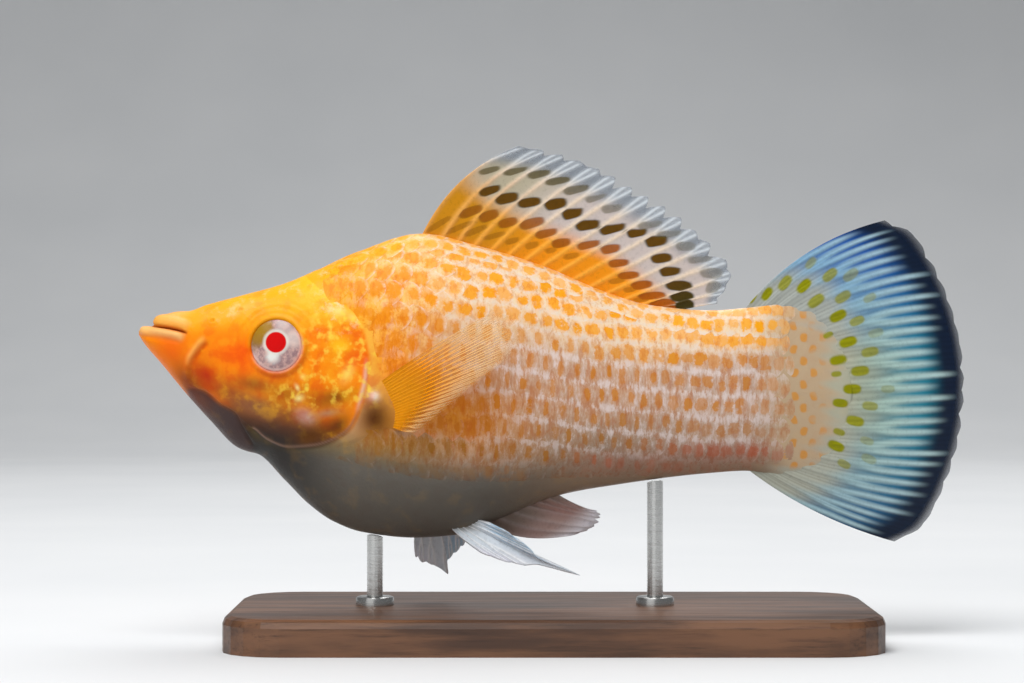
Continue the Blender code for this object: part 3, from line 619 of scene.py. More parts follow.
def makeSkin():
    # One skin from the lips to the base of the tail fin, sunk a little where the scales lie over it
    xs = np.concatenate([*(np.arange(*span) for span in skin["rings"]), [bodyEnd]])
    x, share = np.meshgrid(xs, np.linspace(0, 1, skin["points"]), indexing="ij")
    flat = onBody(x, share)
    z = flat[..., 2]
    floor = flank["floor"](x)
    sideways = ease(np.abs(flat[..., 1]), 0.0, 0.5)
    scaled = ease(x - scaleFront(z), -0.7, 0.4) * ease(x, 68.0, 65.0) * ease(z, floor - 0.9, floor + 0.5)
    relief = headRelief(x, z) * sideways * ease(x, 26.5, 25.0) - scales["sink"] * scaled
    right = onBody(x, share, relief)
    ring = np.concatenate([right, right[:, -2:0:-1] * (1, -1, 1)], axis=1)
    around = ring.shape[1]
    faces = gridFaces(len(xs), around, closed=True).tolist()
    faces += [list(range(first, first + around)) for first in (0, (len(xs) - 1) * around)]
    obj = meshFrom("skin", toModel(ring.reshape(-1, 3)), faces)
    calmLine, _ = lineField(head["calm"], x, z)
    calm = np.maximum.reduce([
        ease(calmLine, 0.8, -0.8) * ease(x, 34, 30), ease(z, floor + 1, floor - 1), ease(x, 60, 64),
        ease(x, 7.0, 4.0), 0.6 * ease(z, 4.0, 7.5) * ease(x, 20, 16), ease(x, 19, 22) * ease(z, -1.0, -2.5),
    ])
    # Where the bright flecks lie, partly golden pigment and partly painted glints
    glitter = ease(x, 15, 18) * ease(x, 25, 23) * ease(z, -3, 0) * ease(z, 10, 7)
    glitter = (glitter + 0.8 * blob(x, z, (15.5, -0.6), (2.6, 1.4))) * (1 - calm)
    pearl = ease(x, 5, 9) * ease(z, body["top"](x) - 3.0, body["top"](x) - 1.2) * ease(x, 20, 16) * 0.5
    pearl += ease(x, 17, 20) * ease(z, 4.0, 8.0) * ease(x, 28, 24)
    for name, values in (("tint", skinColours(x, z)), ("finish", np.stack([glitter, pearl, calm], -1))):
        setAttribute(obj, name, np.concatenate([values, values[:, -2:0:-1]], axis=1).reshape(-1, 3))
    nodes = ("head", "lower_jaw", "gill_cover_left", "gill_cover_right", "trunk", "tail_stalk")
    dress(obj, wetSkin(), "gold_skin", *nodes)
    print("skin made:", len(faces), "faces")


def wetSkin():
    # Wet skin of the head: mottled orange pigment, clouds of pearl, and bright flecks on the gill cover that
    # are partly golden pigment and partly painted glints
    made, add, place = newMaterial("wet_gold_skin")
    glitter, pearl, calm = readVector(add, "finish")
    lively = add("MapRange", [calm, 0.0, 1.0, 1.0, 0.12])
    mottle = add("TexNoise", {"Vector": place, "Scale": 0.6 / mm, "Detail": 4.0, "Roughness": 0.5})
    clouds = add("TexNoise", {"Vector": place, "Scale": 0.9 / mm, "Detail": 7.0, "Roughness": 0.72})
    flecks = add("TexNoise", {"Vector": place, "Scale": 1.3 / mm, "Detail": 2.0, "Roughness": 0.45})
    pores = add("TexNoise", {"Vector": place, "Scale": 4.0 / mm, "Detail": 4.0})
    colour = add("Attribute", {}, "Color", attribute_name="tint")
    colour = overlay(add, colour, "#F07000", mottle, (0.5, 0.34, 0.4), lively, "MULTIPLY")
    colour = overlay(add, colour, "#FFB81C", mottle, (0.5, 0.7, 0.35), lively)
    colour = overlay(add, colour, "#FFE8B4", clouds, (0.5, 0.66, 0.6), pearl)
    colour = overlay(add, colour, "#FFD84A", flecks, (0.46, 0.74, 0.8), glitter)
    normal = add("Bump", {"Height": pores, "Distance": 0.05 * mm, "Strength": 0.35})
    normal = add("Bump", {"Height": clouds, "Distance": 0.25 * mm, "Strength": 0.4, "Normal": normal})
    roughness = add("MapRange", [pores, 0.3, 0.7, 0.32, 0.46])
    finish(add, wet | {
        "Base Color": colour, "Roughness": roughness, "Normal": normal, "Coat Roughness": 0.15,
    })
    return made


# Scales: rows along the body, each scale's free edge lying over the next. The rows next to the back follow
# it, at these distances from the midline.

scales = {
    "sink": 0.075, "row": 2.35, "length": 2.05, "width": 1.26, "thickness": 0.022, "slope": 0.016,
    "dome": 0.02, "across": 10, "along": [0.0, 0.3, 0.5, 0.65, 0.78, 0.88, 0.95, 1.0], "middle": 0.78,
    "backRows": (2.5, 0.85), "backSpot": "#FAAA1C", "backLabel": 99, "first": 12.6, "end": 66.6, "seed": 12,
}
# Where the scales start behind the head, by the height
scaleFront = curveThrough([
    (-16, 13.6), (-9, 14.2), (-7, 15.2), (-6, 17.6), (-5, 22.6), (-3, 25.9), (-1, 25.4), (1.5, 24.3),
    (5, 23.3), (7.5, 21.8), (9, 19), (12, 18), (16, 17.6),
])


def scaleSpacing(x):
    return np.interp(x, [14, 24, 45, 60, 70], [1.75, 1.75, 1.5, 1.3, 1.05])


def scalePlaces():
    # The root of each scale of one side as (x, share, spacing, row height, row)
    stations = [scales["first"]]
    while stations[-1] < scales["end"]:
        stations.append(stations[-1] + scaleSpacing(stations[-1]))
    stations = np.array(stations)
    found = []
    for row in range(-10, 11):
        at = stations[:-1] + 0.5 * (row % 2) * np.diff(stations)
        middle = shareAtHeight(at, np.interp(at, [10, 25, 40, 56, 70], [5.6, 4.4, 2.4, 0.3, 0.0]))
        # Towards the back the rows draw closer together, most of all in front of the stalk
        heights = scales["row"] * np.interp(at, [20, 55, 70], [1.08, 1.0, 0.92])
        closer = 0.035 * ease(at, 54, 42) * max(row, 0)
        rooted = middle + row * (1 - closer) * heights / halfGirth(at)
        for x, height, share in zip(at, heights * (1 - 1.8 * closer), rooted):
            if not 0.3 / halfGirth(x) < share < 1 - (scales["backRows"][0] + 0.7) / halfGirth(x):
                continue
            z = float(lookUp(bodyTable, np.array(x), np.array(share))[2])
            onSide = scaleFront(z) - 1.8 < x < scales["end"] - 0.03 * z * z
            if onSide and z > flank["floor"](x) - 0.9:
                found.append((x, share, scaleSpacing(x), height, row))
    for i, distance in enumerate(scales["backRows"]):
        for x in stations[:-1] + 0.5 * i * np.diff(stations):
            if 17.0 + 1.5 * (1 - i) < x < 63.5:
                share, height = 1 - distance / halfGirth(x), 1.9 - 0.2 * i
                found.append((x, share, scaleSpacing(x), height, scales["backLabel"] + i))
    return sorted(found)


def makeScales(word, side):
    # The scales of one side as one mesh of thin closed plates
    places = scalePlaces()
    a, b = np.meshgrid(scales["along"], np.linspace(-1, 1, scales["across"] + 1), indexing="ij")
    count, plate = a.size, plateFaces(*a.shape)
    middle = scales["along"].index(scales["middle"]) * (scales["across"] + 1) + scales["across"] // 2
    reach = a * (1 - 0.34 * np.abs(b) ** 2.2)
    draws = np.random.default_rng(scales["seed"] + side)
    verts, faces, uvs = [], [], []
    looks = {"cell": [], "spot": [], "finish": [], "spotTint": [], "groundTint": []}
    for x, share, spacing, height, row in places:
        wobble = draws.uniform(-1, 1, 6)
        length, half = spacing * scales["length"], height * scales["width"] / 2
        alongBack = row >= scales["backLabel"]
        alongX = np.minimum(x + reach * length, bodyEnd)
        fanned = b * half * (0.72 + 0.28 * ease(a, 0.0, 0.45)) + 0.03 * wobble[0] * reach * length
        around = share + fanned / halfGirth(x)
        z = float(lookUp(bodyTable, np.array(x + length / 2), np.array(min(share, 1.0)))[2])
        floor = flank["floor"](x)
        flat = (1 - 0.8 * ease(x, 54, 65)) * (1 - 0.6 * ease(z, floor + 2.5, floor))
        lift = -scales["sink"] - 0.01 + (scales["slope"] * length + 0.003 * wobble[1]) * reach * flat
        lift = lift + scales["dome"] * (1 - b * b) * ease(a, 0, 0.5) * flat + 0.02 * alongBack
        under = lift - scales["thickness"] * ease(a, 1.05, 0.85)
        pair = [onBody(alongX, around, level).reshape(-1, 3) for level in (lift, under)]
        faces.append(plate + len(verts) * 2 * count)
        verts.append(np.concatenate(pair) * (1, side, 1))
        # The ground runs on over neighbouring scales, and each spot takes its look from the scale's middle
        seen = flankColours(pair[0][:, 0], pair[0][:, 2])
        ground, flush, pearl = seen[0], seen[3], seen[6]
        spots, amount, halfLength, halfHeight = (seen[i][middle] for i in (1, 2, 4, 5))
        if alongBack:
            spots, halfLength, halfHeight = linear(scales["backSpot"]), 0.62, 0.6
            flush = np.full(count, 0.5 * ease(x, 36, 24))
            amount = ease(x, 64.5, 60) * ease(x, 17, 21) * (1 if row == scales["backLabel"] else 0.85)
        light = 1 + 0.04 * wobble[2]
        amount = amount * (0.78 + 0.22 * wobble[3])
        # How strong the pale line on each scale's free edge is, partly pearl and partly painted highlight,
        # most of it high on the flank
        netted = (0.1 + 0.5 * ease(z, 3.5, 7.5) * ease(x, 62, 54)) * ease(x - scaleFront(z), 0.0, 2.5)
        size = (halfLength * (1 + 0.28 * wobble[4]) / length, halfHeight * (1 + 0.18 * wobble[5]) / half)
        values = {
            "cell": np.stack([reach + 0.05 * wobble[5], b + 0.14 * wobble[1], a], -1).reshape(-1, 3),
            "spot": (amount, *size), "finish": np.stack([flush, pearl, np.full(count, netted)], -1),
            "spotTint": spots * light, "groundTint": ground * light,
        }
        for name, value in values.items():
            looks[name].append(np.broadcast_to(value, (count, 3)))
        # Each scale's patch of the bake map is its own cell of the unwrapped side, clear of its neighbours
        u = (x + 0.3 * spacing + reach * spacing * 0.85) / (bodyEnd + 3)
        v = share + b * height * 0.42 / halfGirth(x)
        if alongBack:
            v = 1.03 + 0.05 * (row - scales["backLabel"]) + 0.02 * b
        uvs.append(np.stack([u, 0.02 + 0.86 * v], -1).reshape(-1, 2))
    obj = meshFrom("scales_" + word, toModel(np.concatenate(verts)), np.concatenate(faces))
    obj.data.set_sharp_from_angle(angle=math.radians(40))
    for name, parts in looks.items():
        setAttribute(obj, name, onBothFaces(parts))
    corners = np.empty(len(obj.data.loops), int)
    obj.data.loops.foreach_get("vertex_index", corners)
    layer = obj.data.uv_layers.new(name="OFBake")
    layer.data.foreach_set("uv", onBothFaces(uvs)[corners].astype(np.float32).ravel())
    dress(obj, pearlScale(), "pearl_skin")
    print(obj.name, "made:", len(places), "scales,", len(obj.data.polygons), "faces")


def pearlScale():
    # Wet pearly scales, each with a ragged spot of orange pigment and a clear, pale free edge that is partly
    # pearl and partly a painted highlight
    made, add, place = newMaterial("pearl_scale_with_orange_spot")
    along, across, rim = readVector(add, "cell")
    amount, halfLength, halfHeight = readVector(add, "spot")
    flush, pearl, netted = readVector(add, "finish")
    spotTint = add("Attribute", {}, "Color", attribute_name="spotTint")
    ragged = add("TexNoise", {"Vector": place, "Scale": 1.3 / mm, "Detail": 6.0, "Roughness": 0.7})
    clouds = add("TexNoise", {"Vector": place, "Scale": 0.6 / mm, "Detail": 6.0, "Roughness": 0.7})
    upright = add("Mapping", {"Vector": place, "Scale": (1.0, 1.0, 0.3)})
    streaks = add("TexNoise", {"Vector": upright, "Scale": 1.8 / mm, "Detail": 6.0, "Roughness": 0.75})
    # The spot is a blunt oval whose outline a noise of about a millimetre makes ragged
    fromMiddle = add("Math", [along, 0.76], operation="SUBTRACT")
    distance = 0.0
    for offset, half in ((fromMiddle, halfLength), (across, halfHeight)):
        offset = add("Math", [offset], operation="ABSOLUTE")
        offset = add("Math", [offset, half], operation="DIVIDE")
        offset = add("Math", [offset, 2.8], operation="POWER")
        distance = add("Math", [distance, offset], operation="ADD")
    distance = add("Math", [ragged, 7.0, distance], operation="MULTIPLY_ADD")
    away = add("Math", [across], operation="ABSOLUTE")
    band = add("MapRange", [away, 0.42, 0.8, 0.0, 0.1], **smooth)
    band = add("Math", [streaks, band], operation="ADD")
    # Pigment that runs over the scales in clouds, a soft halo, streaks of pearl and tan, and the spot
    colour = add("Attribute", {}, "Color", attribute_name="groundTint")
    colour = overlay(add, colour, spotTint, clouds, (0.42, 0.58, 1.0), flush)
    colour = overlay(add, colour, spotTint, distance, (8.5, 4.2, 0.35), amount)
    colour = overlay(add, colour, "#EADAD6", band, (0.48, 0.7, 0.85), pearl)
    colour = overlay(add, colour, "#BC8450", streaks, (0.5, 0.34, 0.4), pearl)
    colour = overlay(add, colour, spotTint, distance, (4.9, 4.0, 1.0), amount)
    colour = overlay(add, colour, "#E88A50", streaks, (0.52, 0.36, 0.3), blend="MULTIPLY")
    broken = add("MapRange", [ragged, 0.4, 0.62, 0.0, 0.7], **smooth)
    broken = add("Math", [broken, netted], operation="MULTIPLY")
    # A broken pale line along the free edge, partly pearl and partly painted highlight
    colour = overlay(add, colour, "#FBEDE4", rim, (0.88, 0.98, 1.0), broken)
    normal = add("Bump", {"Height": streaks, "Distance": 0.08 * mm, "Strength": 0.4})
    roughness = add("MapRange", [streaks, 0.35, 0.65, 0.46, 0.32])
    finish(add, wet | {"Base Color": colour, "Roughness": roughness, "Normal": normal})
    return made


# Eyes

def makeEye(word, side):
    # An eyeball turned about its own axis: a low clear dome in front, and the back of the ball in the head
    turns, angles = np.linspace(0, math.pi, 41), np.linspace(0, 2 * math.pi, 73)[:-1]
    radius = (eye["radius"] + eye["underSkin"]) * np.sin(turns)
    out = np.cos(turns) * np.where(turns < math.pi / 2, eye["bulge"], eye["back"])
    share = shareAtHeight(*eye["centre"])
    at = np.array(eye["centre"][0])
    centre = onBody(at, share, -eye["sunk"]) * (1, side, 1)
    # The eye looks almost straight out to the side, a little less tilted than the cheek around it
    normal = lookUp(normalTable, at, share) * (eye["tilt"], side, eye["tilt"])
    normal /= np.linalg.norm(normal)
    level = np.cross(normal, (0, 0, 1))
    level /= np.linalg.norm(level)
    upright = np.cross(level, normal)
    r, turn = np.meshgrid(radius, angles, indexing="ij")
    across, up = r * np.cos(turn), r * np.sin(turn)
    depth = np.broadcast_to(out[:, None], r.shape)
    verts = centre + normal * depth[..., None] + level * across[..., None] + upright * up[..., None]
    obj = meshFrom("eye_ball_" + word, toModel(verts.reshape(-1, 3)), gridFaces(*r.shape, closed=True))
    setAttribute(obj, "disc", np.stack([-side * across, up, depth], -1).reshape(-1, 3))
    dress(obj, wetEye(), "eye", "eye_" + word)
    print(obj.name, "made")


def wetEye():
    # A wet eye under clear gloss: red pupil in a silver ring, mauve iris with silver above and behind the
    # pupil, a bright silver patch below it that is partly a painted highlight, and painted shade of the
    # brow, gold brown, in front and above. The disc's x runs to the nose, in millimetres.
    made, add, _ = newMaterial("wet_eye")
    across, up, _ = readVector(add, "disc")
    flat = add("CombineXYZ", [across, up, 0.0])
    cloud = add("TexNoise", {"Vector": flat, "Scale": 1.4, "Detail": 6.0, "Roughness": 0.65})
    colour = overlay(add, "#A08084", "#D4AEA4", cloud, (0.4, 0.62, 1.0))
    # Each light or shade as (centre on the disc, inner and outer radius, amount, colour), with a ragged edge
    marks = [
        ((-1.75, 0.7), 0.4, 1.3, 0.75, "#E4D2CA"), ((-0.7, 2.1), 0.3, 1.1, 0.6, "#D8C8C4"),
        # Below the pupil a bright patch that is partly a painted highlight; the gold brown marks in front
        # and above are painted shade of the brow
        ((0.35, -1.1), 0.2, 0.95, 0.95, "#F2F2EA"), ((1.9, 0.9), 0.6, 1.3, 0.95, "#A07414"),
        ((1.2, 1.8), 0.5, 1.2, 0.9, "#A67C18"), ((2.3, -0.1), 0.3, 0.9, 0.6, "#8C6A40"),
    ]
    raggedness = 0.9
    for (x, y), inner, outer, amount, tint in marks:
        away = add("VectorMath", [flat, (x, y, 0.0)], operation="DISTANCE")
        away = add("Math", [cloud, raggedness, away], operation="MULTIPLY_ADD")
        levels = (outer + raggedness / 2, inner + raggedness / 2, amount)
        colour = overlay(add, colour, tint, away, levels)
    away = add("VectorMath", [flat, (0.0, eye["pupilUp"], 0.0)], operation="DISTANCE")
    colour = overlay(add, colour, "#ECE6DA", away, (1.46, 1.14, 0.7))
    below = add("Math", [across, 0.5, up], operation="MULTIPLY_ADD")
    below = add("MapRange", [below, 0.9, 0.0, 0.0, 1.0], **smooth)
    radius = add("VectorMath", [flat], operation="LENGTH")
    colour = overlay(add, colour, "#E8C4BC", radius, (2.15, 2.4, 0.8), below)
    pupil = add("MapRange", [away, eye["pupil"] + 0.05, eye["pupil"] - 0.05, 0.0, 1.0])
    colour = add("Mix", [pupil, colour, "#D80000"], data_type="RGBA")
    finish(add, {
        "Base Color": colour, "Roughness": 0.35, "Coat Weight": 0.2, "Coat Roughness": 0.03,
        "Specular IOR Level": 0.05,
    })
    return made


# Fins: thin sheets swept between a root and a margin. Rays stand at even places along them unless "at" says
# where; thickness, ridges and the notches between ray tips are in millimetres or shares of a ray.

def spine(first, last, count, table, depth, y=0.0):
    # Points along the back or the belly, sunk in by a depth
    return [(x, y, float(body[table](x)) + depth) for x in np.linspace(first, last, count)]


fins = {
    "dorsal": {
        "columns": 15, "at": [0.0, *(k + 0.25 for k in range(1, 15)), 15.0],
        "root": spine(27.9, 51.8, 8, "top", -1.0),
        "margin": [
            (38.0, 0, 24.2), (41.6, 0, 23.6), (45.0, 0, 22.4), (48.3, 0, 20.8), (51.5, 0, 19.0),
            (54.5, 0, 16.9), (57.2, 0, 14.4), (59.3, 0, 11.5), (57.8, 0, 8.4),
        ],
        "bow": ((-0.95, 1.2), (0.4, 0.2)), "membrane": 0.1, "ray": 0.22, "width": (0.32, 0.28),
        "split": 0.66, "spread": 0.36, "perColumn": 18, "rows": 112, "notch": 0.045, "seed": 3,
        "wave": lambda ray, s: 0.5 * np.sin(5 * ray) * s * s,
    },
    "tail": {
        "columns": 16,
        "root": [
            (59.8, 0, 6.9), (63.2, 0, 7.3), (66.2, 0, 6.0), (67.6, 0, 3.6), (68.2, 0, 0.0), (67.6, 0, -3.8),
            (66.2, 0, -6.4), (63.2, 0, -7.7), (59.7, 0, -7.2),
        ],
        "bow": ((-0.9, 1.35), (-0.6, -0.75)), "membrane": 0.1, "ray": 0.16, "width": (0.5, 0.34),
        "split": 0.3, "spread": 0.5, "perColumn": 22, "rows": 128, "notch": 0.012, "seed": 4,
        "wave": lambda ray, s: (1.3 + 0.25 * np.sin(9 * ray)) * s * s,
    },
    "anal": {
        "columns": 6, "root": spine(34.0, 41.0, 5, "bottom", 1.0),
        "margin": [(44.0, 0, -14.5), (45.2, 0, -14.1), (46.0, 0, -13.4), (46.2, 0, -12.8), (45.8, 0, -12.3)],
        "bow": ((-0.7, -1.1), (0.0, -0.35)), "membrane": 0.7, "ray": 0.3, "width": (0.5, 0.4), "split": 2.0,
        "spread": 0.0, "perColumn": 12, "rows": 64, "notch": 0.03, "seed": 5,
        "wave": lambda ray, s: 0.35 * s * s,
    },
    "pelvicLeft": {
        "columns": 6, "root": spine(30.6, 33.0, 3, "bottom", 1.6, 2.0),
        "margin": [
            (34.6, 4.1, -16.3), (36.6, 4.4, -17.0), (38.3, 4.6, -17.35), (39.6, 4.8, -16.9),
            (39.4, 4.9, -16.1), (38.6, 4.8, -15.3), (36.8, 4.6, -14.1),
        ],
        "spike": (2.9, 0.34, (44.2, 5.2, -18.4)), "bow": ((0, -0.3), (0, 0.2)), "membrane": 0.1, "ray": 0.24,
        "width": (0.3, 0.24), "split": 0.4, "spread": 0.4, "perColumn": 20, "rows": 72,
        "notch": 0.05, "seed": 6,
    },
    "pelvicRight": {
        "columns": 6, "root": spine(27.7, 32.0, 3, "bottom", 1.6, 2.0),
        "margin": [
            (27.5, 4.2, -17.2), (28.1, 4.5, -17.8), (29.0, 4.8, -17.9), (30.0, 5.0, -17.9),
            (31.0, 5.1, -17.3), (31.7, 4.8, -16.7), (32.4, 4.6, -16.0),
        ],
        "spike": (2.8, 0.5, (30.8, 5.4, -19.2)), "bow": ((-0.2, 0), (0.3, 0)), "membrane": 0.1, "ray": 0.24,
        "width": (0.3, 0.24), "split": 0.4, "spread": 0.4, "perColumn": 18, "rows": 60,
        "notch": 0.07, "seed": 7,
    },
    "pectoral": {
        "columns": 19, "rootLine": [(24.0, 0.4), (24.8, -1.0), (25.5, -2.4), (25.6, -3.7)], "rootDepth": 0.3,
        "margin": [
            (35.6, 9.0, 7.6), (37.6, 9.4, 7.2), (38.3, 9.7, 5.6), (37.4, 9.7, 3.4), (34.8, 9.3, 1.1),
            (31.6, 8.7, -1.6), (28.2, 8.0, -4.2),
        ],
        "bow": ((0, 0.3), (0, -0.2)), "membrane": 0.07, "ray": 0.06, "width": (0.38, 0.28), "split": 0.35,
        "spread": 0.42, "perColumn": 18, "rows": 90, "notch": 0.03, "seed": 8,
        "wave": lambda ray, s: 1.6 * s * (1 - s),
    },
}
tail = {
    "centre": (56.2, 0.1), "reach": 26.5, "cornerReach": 25.0, "angles": (42.0, -38.5), "olive": "#8E8E08",
    "spotHalf": (0.88, 0.48),
    # Spots as (x, z, size, strength)
    "spots": [
        (61.3, 9.1, 0.8, 1.0), (62.8, 9.4, 0.85, 1.0), (64.6, 10.5, 1.0, 0.9), (66.5, 10.2, 1.0, 1.0),
        (67.2, 12.5, 0.8, 0.6), (69.1, 11.3, 1.0, 0.85), (71.2, 11.3, 1.0, 0.55), (67.7, 8.7, 1.05, 0.9),
        (70.4, 9.1, 1.0, 0.8), (73.1, 9.0, 0.8, 0.5), (69.9, 7.2, 1.05, 1.0), (71.8, 6.7, 0.9, 0.8),
        (68.9, 5.3, 0.6, 0.9), (70.9, 4.6, 1.05, 1.0), (73.1, 3.6, 1.0, 0.8), (73.7, 5.5, 0.9, 0.35),
        (69.9, 2.8, 1.0, 1.0), (69.7, 1.4, 0.6, 0.9), (72.1, 1.7, 1.05, 0.95), (71.3, -0.1, 1.05, 1.0),
        (74.9, -0.1, 0.8, 0.4), (70.1, -1.5, 0.9, 1.0), (73.1, -1.8, 0.9, 0.75), (71.6, -3.3, 1.05, 0.95),
        (70.0, -4.4, 0.7, 0.9), (69.7, -5.8, 1.0, 1.0), (70.5, -7.6, 0.8, 0.7), (73.0, -7.1, 0.9, 0.4),
        (72.8, -5.3, 0.8, 0.4),
    ],
}


def tailMargin():
    points = []
    for angle in np.linspace(*tail["angles"], 15):
        toCorner = min(abs(angle - corner) for corner in tail["angles"])
        reach = tail["reach"] - (tail["reach"] - tail["cornerReach"]) * max(0.0, 1 - toCorner / 9) ** 2
        turn = math.radians(angle)
        x, z = tail["centre"][0] + reach * math.cos(turn), tail["centre"][1] + reach * math.sin(turn)
        points.append((x, 0, z))
    return points


def pectoralRoot():
    points = []
    for x, z in fins["pectoral"]["rootLine"]:
        y = float(onBody(np.array(x), shareAtHeight(x, z))[1])
        points.append((x, y - fins["pectoral"]["rootDepth"], z))
    return points


fins["tail"]["margin"] = tailMargin()
fins["pectoral"]["root"] = pectoralRoot()


def makeFin(name, kind, side, colourOf, material, slot, node):
    # A fin as a closed sheet whose thickness swells over each ray and over the branches of the rays
    fin = fins[kind]
    place = np.linspace(0, fin["columns"], fin["columns"] * fin["perColumn"] + 1)
    rays = np.array(fin.get("at", range(fin["columns"] + 1)), float)
    left = np.clip(np.searchsorted(rays, place, "right") - 1, 0, len(rays) - 2)
    along = (place - rays[left]) / (rays[left + 1] - rays[left])
    nearest = left + (along > 0.5)
    offset = np.where(along > 0.5, along - 1, along) * 2
    draws = np.random.default_rng(fin["seed"]).uniform(-1, 1, (len(rays) * 2, 3))
    own = draws[nearest * 2 + (offset > 0)]
    ray = place / fin["columns"]
    root, margin = alongPoints(fin["root"], ray), alongPoints(fin["margin"], ray)
    if "spike" in fin:
        at, width, tip = fin["spike"]
        pull = np.exp(-(np.abs((place - at) / width) ** 1.3))[:, None]
        foot = alongPoints(fin["margin"], np.array([at / fin["columns"]]))
        margin = margin + (np.array(tip) - foot) * pull
    ragged = fin["notch"] * np.abs(offset) ** 1.5 * (1.2 + draws[left, 0])
    ragged = ragged + 0.2 * fin["notch"] * (1 + own[:, 1])
    s = np.linspace(0, 1, fin["rows"] + 1)[None, :] * (1 - ragged)[:, None]
    (firstX, firstZ), (lastX, lastZ) = fin["bow"]
    first, last = np.maximum(0, 1 - 2 * ray), np.maximum(0, 2 * ray - 1)
    bulge = np.stack([firstX * first + lastX * last, 0 * ray, firstZ * first + lastZ * last], -1)
    points = root[:, None] + (margin - root)[:, None] * s[..., None]
    points = points + bulge[:, None] * (4 * s * (1 - s))[..., None]
    if "wave" in fin:
        points[..., 1] += fin["wave"](ray[:, None], s)
    spacing = np.linalg.norm(np.gradient(points, axis=0), axis=2) * fin["perColumn"]
    away = np.abs(offset)[:, None]
    opening = fin["spread"] * ease(s, fin["split"] + 0.08 * own[:, 2:], fin["split"] + 0.3)
    baseWidth, tipWidth = fin["width"]
    width = baseWidth + (tipWidth - baseWidth) * s
    if kind == "tail":
        # Broad rays that split in two and grow narrow outwards, each branch ending softly at its own place
        ending = 0.88 + 0.08 * own[:, 0:1]
        width = width - 0.13 * ease(s, 0.5, 0.88)
        crest = np.exp(-(np.abs((away - opening) / width) ** 3)) * ease(s, ending + 0.04, ending - 0.14)
    else:
        crest = hump(np.abs(away - opening), 0.0, width) * ease(s, 1.01, 0.95)
        crest = np.maximum(crest, 0.6 * hump(away, 0.0, 0.1) * ease(s, 0.78, 0.9) * (fin["spread"] > 0))
    joints = 1 + 0.1 * np.sin(s * 2 * math.pi * 26 + 3 * own[:, 2:]) * ease(s, 0.15, 0.3)
    half = (fin["membrane"] + fin["ray"] * (1 - 0.5 * s) * crest * joints) / 2 * ease(s, 1.05, 0.9) + 0.02
    normal = np.cross(np.gradient(points, axis=0), np.gradient(points, axis=1))
    normal /= np.linalg.norm(normal, axis=2)[..., None] + 1e-12
    verts = np.concatenate([(points + normal * h[..., None]).reshape(-1, 3) for h in (half, -half)])
    obj = meshFrom(name, toModel(verts * (1, side, 1)), plateFaces(*s.shape))
    sheet = {"s": s, "crest": crest, "points": points, "spacing": spacing, "rays": rays}
    tint, opacity = colourOf(sheet | {"place": np.broadcast_to(place[:, None], s.shape)})
    setAttribute(obj, "tint", onBothFaces([tint.reshape(-1, 3)]))
    setAttribute(obj, "opacity", onBothFaces([opacity.ravel()]))
    dress(obj, material, slot, node)
    print(name, "made:", len(obj.data.polygons), "faces")


def spotsBetweenRays(sheet, rows, seed):
    # Oval spots in the spaces between rays, from 0 outside to 1 in the middle. A row gives the share of the
    # ray where its spots lie, by the place along the fin, their half length and width, how strong they are
    # and, where some are missing, how many
    draws = np.random.default_rng(seed)
    lengths = np.linalg.norm(sheet["points"][:, -1] - sheet["points"][:, 0], axis=1)[:, None]
    total = np.zeros(sheet["s"].shape)
    for row in rows:
        shareAt, strengthAt = curveThrough(row["at"]), curveThrough(row["strength"])
        for middle in (sheet["rays"][:-1] + sheet["rays"][1:]) / 2:
            jitter, kept = draws.uniform(-1, 1, 5), draws.uniform() > row.get("missing", 0.0)
            if not kept or not row["at"][0][0] <= middle <= row["at"][-1][0]:
                continue
            halfLength, halfWidth = np.array(row["half"]) * (1 + 0.18 * jitter[0], 1 + 0.12 * jitter[1])
            across = (sheet["place"] - middle - 0.05 * jitter[2]) * sheet["spacing"]
            along = (sheet["s"] - shareAt(middle) - 0.015 * jitter[3]) * lengths
            # The long axis leans back from the ray, and less so on the last rays
            turn = np.interp(middle, [0, 9, 15], [0.75, 0.6, 0.3]) + 0.12 * jitter[4]
            u = (along * math.cos(turn) + across * math.sin(turn)) / halfLength
            v = (across * math.cos(turn) - along * math.sin(turn)) / halfWidth
            inside = bluntOval(u, v) * ease(np.abs(across) / sheet["spacing"], 0.5, 0.42)
            total = np.maximum(total, inside * strengthAt(middle))
    return total


# The rows of spots on the dorsal fin: near the back, on its middle and near its margin

dorsalSpots = [
    [
        {"at": [(1.2, 0.31), (3.5, 0.3), (4.6, 0.38), (6.3, 0.32), (8, 0.42), (9, 0.45), (10, 0.35),
                (13, 0.27), (14.8, 0.24)],
         "half": (0.94, 0.62), "strength": [(0, 0.85), (15, 1)]},
        {"at": [(4, 0.17), (8, 0.25), (11, 0.22), (13.5, 0.15)], "half": (0.55, 0.42),
         "strength": [(4, 0.5), (15, 0.5)], "missing": 0.2},
        {"at": [(0.5, 0.14), (3.8, 0.18)], "half": (1.1, 0.36), "strength": [(0, 0.5), (4, 0.5)]},
    ],
    [
        {"at": [(1.2, 0.5), (3, 0.47), (4.8, 0.58), (6.7, 0.55), (8, 0.64), (9.5, 0.71), (11, 0.61),
                (12.8, 0.5), (14.8, 0.42)],
         "half": (1.04, 0.7), "strength": [(0, 0.85), (2, 1), (15, 1)]},
    ],
    [
        {"at": [(0.5, 0.66), (2, 0.735), (4, 0.75), (7, 0.77), (10, 0.83), (15, 0.8)], "half": (0.98, 0.56),
         "strength": [(0, 0.8), (4, 0.85), (6, 0.6), (15, 0.5)], "missing": 0.12},
    ],
]


